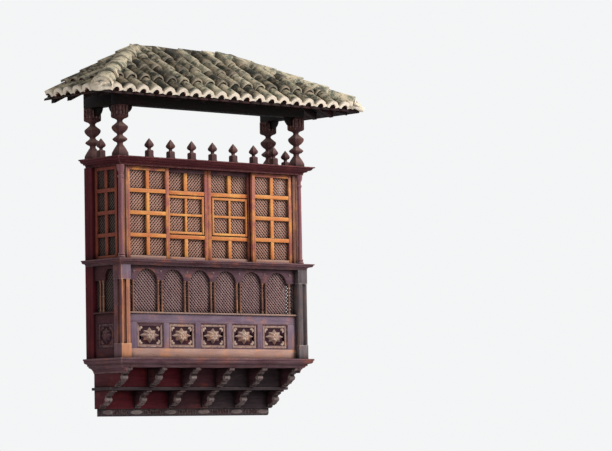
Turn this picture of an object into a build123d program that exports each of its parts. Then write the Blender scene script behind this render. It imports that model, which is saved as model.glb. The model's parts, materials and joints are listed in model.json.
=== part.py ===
from build123d import *
from math import cos, hypot, pi, sin
import os

# Enclosed timber balcony that hangs on a facade, in millimetres.
# X runs along the wall, -Y points away from it, and the wall face is Y = 0.
# The origin lies on the back of the wall beam, in the middle of its length and height.

# Overall plan of the boxed storeys
half_width = 1420.0
box_depth = 660.0
post_size = 145.0
wall_post_depth = 140.0
front_rail_width = 192.0

# Heights of the courses, from the wall beam up
beam_height = 86.0
lower_tier_height = 213.0
ledge_height = 32.0
upper_tier_height = 223.0
base_cornice_height = 105.0
parapet_height = 1063.0
mid_cornice_height = 70.0
leaf_storey_height = 1072.0
cap_height = 95.0
roof_post_height = 595.0
eave_beam_height = 234.0

# Corbelled base
beam_depth = 85.0
beam_half_width = 1275.0
base_half_width = 1310.0
corbel_count = 6
corbel_thickness = 75.0
lower_top_reach = 330.0
lower_foot_reach = 98.0
upper_top_reach = 620.0
upper_foot_reach = 385.0
back_board_thickness = 25.0
ledge_reach = 362.0
ledge_side_overhang = 38.0
floor_board_thickness = 35.0
floor_board_drop = 25.0

# Mouldings: how far each lip stands out, and how deep its moulding is cut
base_lip_reach = 49.0
base_moulding_depth = 85.0
mid_lip_reach = 64.0
mid_moulding_depth = 62.0
cap_lip_reach = 83.0
cap_moulding_depth = 100.0
side_bed_height = 62.0

# Parapet storey
frame_recess = 60.0
side_recess = 22.0
frame_thickness = 45.0
parapet_frame_height = 512.0
shelf_height = 17.0
shelf_reach = 22.0
panel_count = 5
panel_pitch = 475.0
panel_width = 400.0
panel_height = 298.0
panel_foot = 112.0
panel_recess = 24.0
panel_thickness = 12.0
panel_border = 45.0
panel_sink = 10.0
boss_gap = 8.0
boss_relief = 30.0
boss_face_share = 0.62
side_panel_width = 300.0
bay_count = 6
bay_pitch = 396.0
arch_width = 306.0
arch_rise = 132.0
arcade_board_height = 170.0
arcade_thickness = 34.0
side_arch_width = 180.0
side_arch_rise = 84.0
side_pair_reach = 262.0
colonnette_radius = 13.0
colonnette_pair_gap = 18.0
colonnette_head = 40.0
colonnette_foot = 26.0
colonnette_sides = 6
shaft_sides = 8
lattice_pitch = 230.0
lattice_gap = 3.0
lath_width = 13.0
lath_thickness = 12.0
lower_chamfer = 26.0
lower_foot_block = 165.0
lower_head_block = 170.0

# Lattice storey
upper_setback = 28.0
upper_post_width = 130.0
upper_post_depth = 80.0
engaged_radius = 32.0
engaged_foot_radius = 44.0
engaged_head_radius = 46.0
engaged_foot_height = 70.0
engaged_head_height = 80.0
engaged_ring_height = 24.0
leaf_recess = 47.0
leaf_thickness = 40.0
leaf_track_gap = 6.0
leaf_meeting_gap = 2.0
leaf_stile = 50.0
leaf_mullion = 48.0
leaf_rail = 45.0
leaf_rows = 4
middle_leaf_width = 665.0
outer_leaf_width = 630.0
hatch_gap = 12.0
hatch_lap = 10.0
hatch_frame_width = 28.0
hatch_bar = 32.0
hatch_thickness = 30.0
side_leaf_thickness = 32.0
side_leaf_recess = 10.0
side_leaf_stile = 40.0

# Gallery on the cap rail
roof_post_size = 148.0
roof_post_inset = 5.0
finial_inset = 40.0
side_finial_inset = 10.0
finial_count = 7
finial_pitch = 317.0
finial_size = 82.0
finial_height = 228.0
side_finial_reach = 310.0
bracket_reach = 95.0
bracket_thickness = 60.0

# Hipped roof that leans on the wall; its thicknesses are measured straight down
ridge_half_length = 680.0
eave_half_width = 2030.0
eave_reach = 1070.0
roof_rise = 652.0
tile_bed = 30.0
tile_roll_height = 65.0
tile_roll_width = 135.0
tile_column_pitch = 193.0
tile_roll_sides = 5
hip_tile_radius = 85.0
wall_tile_radius = 80.0
wall_tile_lap = 20.0
ridge_tile_sides = 10
roof_board_thickness = 22.0
roof_board_setback = 45.0
rafter_depth = 75.0
rafter_width = 70.0
rafter_count = 9
rafter_pitch = 380.0
side_rafter_count = 3
side_rafter_pitch = 300.0
rafter_setback = 150.0
rafter_notch = 18.0
hip_rafter_width = 84.0
eave_beam_width = 140.0
ledger_depth = 70.0
ledger_height = 130.0
rafter_over_ledger = 35.0

# Levels above the origin
beam_top = beam_height / 2
ledge_foot = beam_top + lower_tier_height
upper_tier_foot = ledge_foot + ledge_height
base_cornice_foot = upper_tier_foot + upper_tier_height
deck = base_cornice_foot + base_cornice_height
mid_cornice_foot = deck + parapet_height
leaf_foot = mid_cornice_foot + mid_cornice_height
cap_foot = leaf_foot + leaf_storey_height
cap_top = cap_foot + cap_height
eave_beam_foot = cap_top + roof_post_height
eave_beam_top = eave_beam_foot + eave_beam_height
frame_face = box_depth - frame_recess
upper_depth = box_depth - upper_setback
upper_half_width = half_width - upper_setback

# Roof planes, which rest on the outer top edge of the front eave beam
gallery_face = box_depth - roof_post_inset
front_fall = roof_rise / eave_reach
side_fall = roof_rise / (eave_half_width - ridge_half_length)
board_drop = tile_bed
rafter_drop = board_drop + roof_board_thickness
rafter_foot_drop = rafter_drop + rafter_depth
eave_level = eave_beam_top - rafter_notch + rafter_foot_drop - front_fall * (eave_reach - gallery_face)
ridge_level = eave_level + roof_rise
roof_top = ridge_level + wall_tile_radius
flank_beam_top = ridge_level - side_fall * (half_width - ridge_half_length) - rafter_foot_drop + rafter_notch


def block(x, y, z):
    """Box between the low and high value of each pair."""
    size = [abs(p[1] - p[0]) for p in (x, y, z)]
    low = [min(p) for p in (x, y, z)]
    return Pos(*low) * Box(*size, align=(Align.MIN, Align.MIN, Align.MIN))


def outline(points):
    """Closed face from (x, y) points; a third value bulges the edge that arrives there."""
    edges = []
    for before, point in zip([points[-1]] + points[:-1], points):
        bulge = point[2] if len(point) > 2 else 0.0
        if bulge:
            edges.append(SagittaArc(before[:2], point[:2], bulge))
        else:
            edges.append(Line(before[:2], point[:2]))
    return make_face(Curve() + edges)


def both_sides(solid):
    """The solid on the right and its mirror image on the left."""
    return [solid, mirror(solid, about=Plane.YZ)]


def write(name, solids):
    """One STEP file of separate solids for one named piece."""
    loose = []
    for shape in solids:
        loose += shape.solids()
    shape = loose[0] if len(loose) == 1 else Compound(loose)
    shape.label = name
    export_step(shape, f"parts/{name}.step")


def front_plane(depth, level):
    """Sketch plane across the front: x points outwards and y up."""
    return Plane((0, -depth, level), x_dir=(0, -1, 0), z_dir=(-1, 0, 0))


def side_plane(reach, level):
    """Sketch plane across the right flank: x points outwards and y up."""
    return Plane((reach, 0, level), x_dir=(1, 0, 0), z_dir=(0, -1, 0))


def plan_prism(points, low, high):
    """Upright prism over a plan outline."""
    face = make_face(Polyline([(x, y, low) for x, y in points], close=True))
    return extrude(face, amount=high - low, dir=(0, 0, 1))


def moulding(shares, lip_reach, depth, height):
    """Moulding outline from its inner foot to its lip, given as shares of its depth and height."""
    points = []
    for across, up, *bulge in shares:
        points.append((lip_reach - depth * (1 - across), height * up, *(depth * b for b in bulge)))
    return points


def mitred_course(points, level):
    """A moulded course on its rail: the front run, and its return on the right flank."""
    reach, low = points[-1][0], level
    high = level + points[-1][1]
    out_x, out_y = half_width + reach, box_depth + reach
    in_x, in_y = half_width - post_size, box_depth - post_size
    rail_y = box_depth - front_rail_width
    back = [(-front_rail_width, high - level), (-front_rail_width, 0)]
    run = extrude(front_plane(box_depth, level) * outline(points + back), amount=out_x, both=True)
    right = [(out_x, -out_y), (in_x, -in_y), (in_x, -rail_y)]
    left = [(-x, y) for x, y in reversed(right)]
    front = run & plan_prism(right + left, low, high)
    back = [(-post_size, high - level), (-post_size, 0)]
    flank = extrude(side_plane(half_width, level) * outline(points + back), amount=out_y)
    side = flank & plan_prism([(out_x, -out_y), (out_x, 0), (in_x, 0), (in_x, -in_y)], low, high)
    return front, side


def faceted(rings):
    """Solid of flat faces through rings of equally many corners, from its foot to its head."""
    count = len(rings[0])
    faces = [Face(Wire.make_polygon(rings[0])), Face(Wire.make_polygon(rings[-1]))]
    for lower, upper in zip(rings, rings[1:]):
        for k in range(count):
            nxt = (k + 1) % count
            faces.append(Face(Wire.make_polygon([lower[k], lower[nxt], upper[nxt], upper[k]])))
    return Solid(Shell(faces))


def turned(sections, sides, x, y, level):
    """Turned shaft of a few flat sides through (radius, height) sections."""
    rings = []
    for radius, height in sections:
        turns = [2 * pi * k / sides for k in range(sides)]
        rings.append([(x + radius * cos(a), y + radius * sin(a), level + height) for a in turns])
    return faceted(rings)


def square_turning(sections, x, y, level):
    """Square post through (half width, height) sections."""
    corners = [(1, 1), (-1, 1), (-1, -1), (1, -1)]
    return faceted([[(x + half * i, y + half * j, level + height) for i, j in corners]
                    for half, height in sections])


def lattice(width, height, thickness, pitch, lath):
    """Upright diamond lattice in the XZ plane: laths of one thickness fused where they cross."""
    across = max(1, round((width - 2 * lath) / pitch))
    up = max(1, round((height - 2 * lath) / pitch))
    step_x, step_z = (width - 2 * lath) / (2 * across), (height - 2 * lath) / (2 * up)
    slant = hypot(step_x, step_z)
    half_x, half_z = step_x - lath * slant / (2 * step_z), step_z - lath * slant / (2 * step_x)
    tips = [(half_x, 0), (0, half_z), (-half_x, 0), (0, -half_z)]
    holes = []
    for i in range(2 * across + 1):
        for j in range(2 * up + 1):
            if (i + j) % 2 == 0:
                continue
            outside = {(2 * across, 0): 0, (2 * up, 1): 1, (0, 0): 2, (0, 1): 3}
            skip = {outside.get((i, 0)), outside.get((j, 1))}
            x, z = (i - across) * step_x, (j - up) * step_z
            kept = [tip for k, tip in enumerate(tips) if k not in skip]
            holes.append(Wire.make_polygon([(x + a, z + b, 0) for a, b in kept]))
    corners = [(a * width / 2, b * height / 2, 0) for a, b in ((1, 1), (-1, 1), (-1, -1), (1, -1))]
    rim = Wire.make_polygon(corners)
    return extrude(Plane.XZ * Face(rim, holes), amount=thickness / 2, both=True)


def framed_grid(width, height, thickness, stile, rail, mullion, rows):
    """Joined frame with one upright and level rails, its squares left open, in the XZ plane."""
    frame = Rectangle(width, height)
    cell_width = (width - 2 * stile - mullion) / 2
    cell_height = (height - (rows + 1) * rail) / rows
    for row in range(rows):
        z = -height / 2 + rail + cell_height / 2 + row * (cell_height + rail)
        for side in (-1, 1):
            frame -= Pos(side * (mullion + cell_width) / 2, z) * Rectangle(cell_width, cell_height)
    return extrude(Plane.XZ * frame, amount=thickness / 2, both=True)


def corbel(points, depth, foot, height):
    """One bracket seen from the side, its nose cut to an outline of (reach, height) shares."""
    nose = [(depth * out, height * up) for out, up in points]
    face = outline([(0, 0)] + nose + [(0, height)])
    plane = Plane((-corbel_thickness / 2, 0, foot), x_dir=(0, -1, 0), z_dir=(-1, 0, 0))
    return extrude(plane * face, amount=-corbel_thickness)


def corbel_row(one):
    """The row of equal brackets, the end ones flush with the flanks of the base."""
    span = 2 * base_half_width - corbel_thickness
    return [Pos(-span / 2 + i * span / (corbel_count - 1), 0, 0) * one for i in range(corbel_count)]


def boards_between(face_reach, foot, height):
    """Upright boards that close the gaps between the brackets."""
    span = 2 * base_half_width - corbel_thickness
    gap = span / (corbel_count - 1)
    board = block((-(gap - corbel_thickness) / 2, (gap - corbel_thickness) / 2),
                  (-face_reach, -face_reach + back_board_thickness), (foot, foot + height))
    return [Pos(-span / 2 + (i + 0.5) * gap, 0, 0) * board for i in range(corbel_count - 1)]


def base_pieces():
    """Wall beam, two tiers of corbels with boards, the ledge between them and the floor."""
    rounding = beam_height * 0.4
    face = outline([(0, beam_top), (0, -beam_top), (beam_depth - rounding, -beam_top),
                    (beam_depth, -beam_top + rounding, -rounding * 0.3), (beam_depth, beam_top)])
    plane = Plane((0, 0, 0), x_dir=(0, -1, 0), z_dir=(-1, 0, 0))
    write("wall_beam", [extrude(plane * face, amount=beam_half_width, both=True)])

    share = lower_foot_reach / lower_top_reach
    lower = [(share, 0), (share + 0.05, 0.18), (share + 0.22, 0.19), (0.62, 0.31), (0.71, 0.39),
             (0.72, 0.47), (0.69, 0.60), (0.63, 0.69), (0.80, 0.80), (0.86, 0.90), (1.0, 0.92), (1.0, 1.0)]
    write("lower_corbels", corbel_row(corbel(lower, lower_top_reach, beam_top, lower_tier_height)))
    write("lower_back_boards", boards_between(lower_foot_reach, beam_top, lower_tier_height))

    ledge_half = base_half_width + ledge_side_overhang
    nosing = ledge_height / 2
    face = outline([(0, 0), (ledge_reach - nosing, 0), (ledge_reach, nosing, -nosing * 0.3),
                    (ledge_reach, ledge_height), (0, ledge_height)])
    plane = Plane((0, 0, ledge_foot), x_dir=(0, -1, 0), z_dir=(-1, 0, 0))
    write("tier_ledge", [extrude(plane * face, amount=ledge_half, both=True)])

    share = upper_foot_reach / upper_top_reach
    upper = [(share, 0), (share + 0.03, 0.14), (0.73, 0.16), (0.80, 0.32), (0.855, 0.38),
             (0.86, 0.46), (0.84, 0.56), (0.81, 0.63), (0.90, 0.72), (0.92, 0.82), (1.0, 0.86), (1.0, 1.0)]
    write("upper_corbels", corbel_row(corbel(upper, upper_top_reach, upper_tier_foot, upper_tier_height)))
    write("upper_back_boards", boards_between(upper_foot_reach - 35, upper_tier_foot, upper_tier_height))

    inner_x, inner_y = half_width - post_size, box_depth - front_rail_width
    top = deck - floor_board_drop
    write("floor_boards", [block((-inner_x, inner_x), (-inner_y, 0), (top - floor_board_thickness, top))])


def cornices():
    """The three moulded courses that wrap the box, each a front run and two returns."""
    shares = [(0, 0), (0.15, 0.18), (0.35, 0.22), (0.41, 0.42, 0.07), (0.65, 0.46), (0.88, 0.78, -0.09),
              (1, 0.80), (1, 1)]
    points = moulding(shares, base_lip_reach, base_moulding_depth, base_cornice_height)
    front, side = mitred_course(points, base_cornice_foot)
    bed_reach = half_width + points[0][0] - base_half_width
    bed = outline([(0, 0), (0, -side_bed_height), (bed_reach * 0.08, -side_bed_height),
                   (bed_reach, 0, bed_reach * 0.2)])
    bed = extrude(side_plane(base_half_width, base_cornice_foot) * bed, amount=upper_top_reach)
    write("base_cornice_front", [front])
    write("base_cornice_sides", both_sides(side + bed))

    shares = [(0, 0), (0.16, 0.40, 0.10), (0.52, 0.46), (0.81, 0.76, -0.11), (1, 0.80), (1, 1)]
    points = moulding(shares, mid_lip_reach, mid_moulding_depth, mid_cornice_height)
    front, side = mitred_course(points, mid_cornice_foot)
    write("mid_cornice_front", [front])
    write("mid_cornice_sides", both_sides(side))

    shares = [(0, 0), (0.12, 0.32, 0.08), (0.30, 0.36), (0.38, 0.52), (0.80, 0.80, -0.10), (0.88, 0.84),
              (1, 0.86), (1, 1)]
    points = moulding(shares, cap_lip_reach, cap_moulding_depth, cap_height)
    front, side = mitred_course(points, cap_foot)
    write("cap_rail_front", [front])
    write("cap_rail_sides", both_sides(side))


def posts():
    """Wall posts and corner posts of both storeys."""
    inner = half_width - post_size
    lower = block((inner, half_width), (-wall_post_depth, 0), (deck, mid_cornice_foot))
    upper = block((inner, half_width), (-wall_post_depth, 0), (leaf_foot, cap_foot))
    write("wall_posts", both_sides(lower) + both_sides(upper))

    corner = block((inner, half_width), (-box_depth, -(box_depth - post_size)), (deck, mid_cornice_foot))
    c = lower_chamfer
    low, high = deck + lower_foot_block, mid_cornice_foot - lower_head_block
    edge = [(half_width, -box_depth), (half_width - c, -box_depth), (half_width, -box_depth + c)]
    cut = plan_prism(edge, low, high)
    bead = [(c * 0.8, 0), (c * 0.8, high - low)]
    bead = turned(bead, shaft_sides, half_width - c, -box_depth + c, low)
    write("lower_corner_posts", both_sides(corner - cut + bead))

    x, y, r = upper_half_width, upper_depth, engaged_radius
    corner = block((x - upper_post_width, x - r), (-y + r, -y + upper_post_depth), (leaf_foot, cap_foot))
    neck = leaf_storey_height - engaged_head_height
    ring = neck - 2 * engaged_ring_height
    sections = [(engaged_foot_radius, 0), (r, engaged_foot_height), (r, ring), (r * 1.2, ring),
                (r * 1.2, ring + engaged_ring_height), (r, ring + engaged_ring_height), (r, neck),
                (engaged_head_radius, leaf_storey_height)]
    shaft = turned(sections, shaft_sides, x - r, -y + r, leaf_foot)
    write("upper_corner_posts", both_sides(corner + shaft))


def carved_panel(width):
    """Panel with a sunk field and a cusped lozenge boss, which faces -Y from the field at Y = 0."""
    half_x, half_z = width / 2, panel_height / 2
    field_x, field_z = half_x - panel_border, half_z - panel_border
    panel = block((-half_x, half_x), (-panel_sink, panel_thickness), (-half_z, half_z))
    panel -= block((-field_x, field_x), (-panel_sink, 0), (-field_z, field_z))
    rings = []
    for share, relief in ((1.0, 0.0), (boss_face_share, boss_relief)):
        ring = []
        for k in range(16):
            reach = share * (1.0, 0.64, 0.86, 0.64)[k % 4]
            x, z = cos(pi * k / 8) * (field_x - boss_gap), sin(pi * k / 8) * (field_z - boss_gap)
            ring.append((x * reach, -relief, z * reach))
        rings.append(ring)
    return panel + faceted(rings)


def parapet():
    """Panelled frames, their carved panels, the shelves, the arcade and its colonnettes."""
    inner_x = half_width - post_size
    frame_y = (-frame_face, -frame_face + frame_thickness)
    frame = block((-inner_x, inner_x), frame_y, (deck, deck + parapet_frame_height))
    back = -frame_face + panel_recess
    carved = []
    panel_z = (deck + panel_foot, deck + panel_foot + panel_height)
    for k in range(panel_count):
        x = (k - (panel_count - 1) / 2) * panel_pitch
        span = (x - panel_width / 2, x + panel_width / 2)
        frame -= block(span, frame_y, panel_z)
        carved.append(Pos(x, back, sum(panel_z) / 2) * carved_panel(panel_width))
    write("parapet_frame_front", [frame])

    side_x = (half_width - side_recess - frame_thickness, half_width - side_recess)
    side_y = (-(box_depth - post_size), -wall_post_depth)
    middle = sum(side_y) / 2
    hole = (middle - side_panel_width / 2, middle + side_panel_width / 2)
    side = block(side_x, side_y, (deck, deck + parapet_frame_height)) - block(side_x, hole, panel_z)
    face = side_x[1] - panel_recess
    flank_panel = Pos(face, middle, sum(panel_z) / 2) * Rot(0, 0, 90) * carved_panel(side_panel_width)
    write("parapet_frames_side", both_sides(side))
    write("carved_panels", carved + both_sides(flank_panel))

    shelf_z = (deck + parapet_frame_height, deck + parapet_frame_height + shelf_height)
    shelf_y = (-frame_face - shelf_reach, frame_y[1])
    write("parapet_shelf_front", [block((-inner_x, inner_x), shelf_y, shelf_z)])
    write("parapet_shelves_side", both_sides(block((side_x[0], side_x[1] + shelf_reach), side_y, shelf_z)))
    arcade(side_x, side_y, shelf_z[1], inner_x)


def arch_cut(width, rise, centre):
    """Face of one arched opening whose crown lies an arch rise above the foot of the board."""
    half, spring = width / 2, arch_rise - rise
    return Pos(centre, 0) * outline([(-half, -1), (half, -1), (half, spring), (-half, spring, -rise)])


def arcade(side_x, side_y, foot, inner_x):
    """Arched boards on twin colonnettes, with lattice behind them."""
    spring = mid_cornice_foot - arcade_board_height
    board = Pos(0, arcade_board_height / 2) * Rectangle(2 * inner_x, arcade_board_height)
    for k in range(bay_count):
        board -= arch_cut(arch_width, arch_rise, (k - (bay_count - 1) / 2) * bay_pitch)
    plane = Plane((0, -frame_face, spring), x_dir=(1, 0, 0), z_dir=(0, -1, 0))
    write("arcade_board_front", [extrude(plane * board, amount=-arcade_thickness)])

    length = side_y[1] - side_y[0]
    board = Pos(-sum(side_y) / 2, arcade_board_height / 2) * Rectangle(length, arcade_board_height)
    board -= arch_cut(side_arch_width, side_arch_rise, -side_y[0] - side_arch_width / 2)
    plane = Plane((side_x[1], 0, spring), x_dir=(0, -1, 0), z_dir=(-1, 0, 0))
    write("arcade_boards_side", both_sides(extrude(plane * board, amount=arcade_thickness)))

    height, r = spring - foot, colonnette_radius
    foot_end, head_start = colonnette_foot, height - colonnette_head
    sections = [(r * 1.4, 0), (r * 1.4, foot_end / 2), (r, foot_end), (r * 0.85, head_start),
                (r * 1.4, height - colonnette_head / 3), (r * 1.4, height)]
    column = turned(sections, colonnette_sides, 0, 0, 0)
    spread = r * 1.4 + colonnette_pair_gap / 2
    row = -frame_face + arcade_thickness / 2
    columns = []
    for k in range(bay_count + 1):
        x = (k - bay_count / 2) * bay_pitch
        if 0 < k < bay_count:
            columns += [Pos(x - spread, row, foot) * column, Pos(x + spread, row, foot) * column]
        else:
            columns.append(Pos(x, row, foot) * column)
    side_row = side_x[1] - arcade_thickness / 2
    for reach in (side_pair_reach - spread, side_pair_reach + spread):
        columns += both_sides(Pos(side_row, -reach, foot) * column)
    write("colonnettes", columns)

    height = mid_cornice_foot - foot
    back = arcade_thickness + lattice_gap + lath_thickness / 2
    mesh = lattice(2 * inner_x, height, lath_thickness, lattice_pitch, lath_width)
    write("arcade_lattice_front", [Pos(0, -frame_face + back, foot + height / 2) * mesh])
    mesh = Rot(0, 0, 90) * lattice(length, height, lath_thickness, lattice_pitch, lath_width)
    mesh = Pos(side_x[1] - back, sum(side_y) / 2, foot + height / 2) * mesh
    write("arcade_lattices_side", both_sides(mesh))


def place_seat(opening, lap, seat):
    """Thin rebate ring at the back of a leaf, which the hatch closes against."""
    ring = Box(opening[0], seat, opening[1]) - Box(opening[0] - lap, seat, opening[1] - lap)
    return Pos(0, (leaf_thickness - seat) / 2, 0) * ring


def leaves():
    """Lattice leaves of the upper storey: fixed outer ones, sliding middle ones with a hatch."""
    height = leaf_storey_height
    middle_z = leaf_foot + height / 2
    edge = upper_half_width - upper_post_width
    outer_y = -upper_depth + leaf_recess + leaf_thickness / 2
    joinery = (leaf_thickness, leaf_stile, leaf_rail, leaf_mullion, leaf_rows)
    grid = framed_grid(outer_leaf_width, height, *joinery)
    place = Pos(edge - outer_leaf_width / 2, outer_y, middle_z)
    write("outer_leaf_frames", both_sides(place * grid))
    laths = (lath_thickness, lattice_pitch, lath_width)
    mesh = lattice(outer_leaf_width - leaf_stile, height - leaf_rail, *laths)
    back = outer_y + leaf_thickness / 2 + lath_thickness / 2
    write("outer_leaf_lattices", both_sides(Pos(edge - outer_leaf_width / 2, back, middle_z) * mesh))

    inner_y = outer_y + leaf_thickness + leaf_track_gap + lath_thickness
    frame = framed_grid(middle_leaf_width, height, *joinery)
    cell = (height - (leaf_rows + 1) * leaf_rail) / leaf_rows
    opening = (middle_leaf_width - 2 * leaf_stile, 2 * cell + leaf_rail)
    seat = leaf_thickness - hatch_thickness
    front_cut = Box(opening[0], hatch_thickness, opening[1])
    frame -= Pos(0, -seat / 2, 0) * front_cut
    lap = 2 * (hatch_gap + hatch_lap)
    frame -= Box(opening[0] - lap, leaf_thickness, opening[1] - lap)
    frame += place_seat(opening, lap, seat)
    place = Pos((middle_leaf_width + leaf_meeting_gap) / 2, inner_y, middle_z)
    write("middle_leaf_frames", both_sides(place * frame))
    hatch_width, hatch_height = opening[0] - 2 * hatch_gap, opening[1] - 2 * hatch_gap
    edge_bar = hatch_frame_width
    hatch = framed_grid(hatch_width, hatch_height, hatch_thickness, edge_bar, hatch_bar, hatch_bar, 2)
    hatch_place = place * Pos(0, -seat / 2, 0)
    write("hatch_frames", both_sides(hatch_place * hatch))
    hatch_mesh = lattice(hatch_width - edge_bar, hatch_height - edge_bar, *laths)
    behind = Pos(0, hatch_thickness / 2 + lath_thickness / 2, 0)
    write("hatch_lattices", both_sides(hatch_place * behind * hatch_mesh))
    row_height = cell + leaf_rail * 0.8
    mesh = lattice(middle_leaf_width - leaf_stile, row_height, *laths)
    rows = []
    for side in (-1, 1):
        level = side * (height / 2 - leaf_rail - cell / 2)
        behind = Pos(0, leaf_thickness / 2 + lath_thickness / 2, level)
        rows += both_sides(place * behind * mesh)
    write("middle_leaf_lattices", rows)

    low, high = -(upper_depth - upper_post_depth), -wall_post_depth
    width, thickness = high - low, side_leaf_thickness
    grid = framed_grid(width, height, thickness, side_leaf_stile, leaf_rail, leaf_mullion, leaf_rows)
    x = upper_half_width - side_leaf_recess - thickness / 2
    place = Pos(x, (low + high) / 2, middle_z) * Rot(0, 0, 90)
    write("side_leaf_frames", both_sides(place * grid))
    mesh = lattice(width - side_leaf_stile, height - leaf_rail, *laths)
    write("side_leaf_lattices", both_sides(place * Pos(0, (thickness + lath_thickness) / 2, 0) * mesh))


def gallery():
    """Finials and cut posts that stand on the cap rail, with brackets under the eave beams."""
    shares = [(1, 0), (1, 0.06), (0.90, 0.10), (0.90, 0.34), (0.80, 0.39), (0.42, 0.41), (0.36, 0.47),
              (0.44, 0.51), (0.80, 0.56), (1, 0.64), (0.92, 0.71), (0.54, 0.85), (0.07, 1)]
    half = [(finial_size / 2 * out, finial_height * up) for out, up in shares]
    row = -(box_depth - finial_inset)
    places = [((k - (finial_count - 1) / 2) * finial_pitch, row) for k in range(finial_count)]
    places += [(side * (half_width - side_finial_inset), -side_finial_reach) for side in (-1, 1)]
    write("finials", [square_turning(half, x, y, cap_top) for x, y in places])

    shares = [(0.92, 0), (0.97, 0.03), (0.94, 0.075), (0.66, 0.16), (0.36, 0.235), (0.36, 0.27),
              (0.64, 0.29), (0.90, 0.325), (0.82, 0.35), (0.36, 0.41), (0.36, 0.44), (0.62, 0.47),
              (0.86, 0.515), (0.97, 0.56), (0.90, 0.59), (0.64, 0.625), (0.34, 0.67), (0.34, 0.70),
              (0.54, 0.725), (0.94, 0.75), (1, 0.775), (1, 1)]
    half = [(roof_post_size / 2 * out, roof_post_height * up) for out, up in shares]
    x = half_width - roof_post_size / 2
    post = square_turning(half, 0, 0, cap_top)
    rows = (-(gallery_face - roof_post_size / 2), -roof_post_size / 2)
    write("roof_posts", [Pos(side * x, y, 0) * post for y in rows for side in (-1, 1)])

    r, t = bracket_reach, bracket_thickness
    face = outline([(0, 0), (0, -r), (r, 0, -r * 0.25)])
    middle = roof_post_size / 2
    inner = half_width - roof_post_size
    front = Plane((inner, rows[0] - t / 2, eave_beam_foot), x_dir=(-1, 0, 0), z_dir=(0, 1, 0))
    rear = Plane((x - t / 2, rows[0] + middle, eave_beam_foot), x_dir=(0, 1, 0), z_dir=(1, 0, 0))
    wall = Plane((x + t / 2, rows[1] - middle, eave_beam_foot), x_dir=(0, -1, 0), z_dir=(-1, 0, 0))
    pieces = []
    for plane in (front, rear, wall):
        pieces += both_sides(extrude(plane * face, amount=t))
    write("post_brackets", pieces)


def roof_body(drop):
    """Everything under the roof planes, which are lowered by a drop measured straight down."""
    eave, ridge = eave_level - drop, ridge_level - drop
    plane = Plane((0, 0, 0), x_dir=(0, -1, 0), z_dir=(-1, 0, 0))
    front = outline([(0, ridge), (eave_reach, eave), (eave_reach, cap_top), (0, cap_top)])
    run = extrude(plane * front, amount=eave_half_width, both=True)
    right = [(ridge_half_length, ridge), (eave_half_width, eave), (eave_half_width, cap_top)]
    left = [(-x, z) for x, z in reversed(right)]
    return run & extrude(Plane.XZ * outline(right + left), amount=eave_reach)


def roof_layer(upper_drop, lower_drop, setback):
    """One layer under the roof planes, which ends a setback short of the eaves."""
    x, y = eave_half_width - setback, eave_reach - setback
    return (roof_body(upper_drop) - roof_body(lower_drop)) & block((-x, x), (-y, 0), (cap_top, roof_top))


def tile_sheet(plane, start, finish, inward):
    """Sheet of barrel tiles from its eave edge up: a flat bed with a roll over each column."""
    columns = round((finish - start) / tile_column_pitch)
    pitch = (finish - start) / columns
    points = [(start, -tile_bed), (finish, -tile_bed), (finish, 0)]
    for column in reversed(range(columns)):
        centre = start + (column + 0.5) * pitch
        for side in range(tile_roll_sides + 1):
            angle = pi * side / tile_roll_sides
            points.append((centre + cos(angle) * tile_roll_width / 2, sin(angle) * tile_roll_height))
    points.append((start, 0))
    slope = Vector(*inward)
    return extrude(plane * outline(points), amount=slope.length, dir=slope.normalized())


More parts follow.
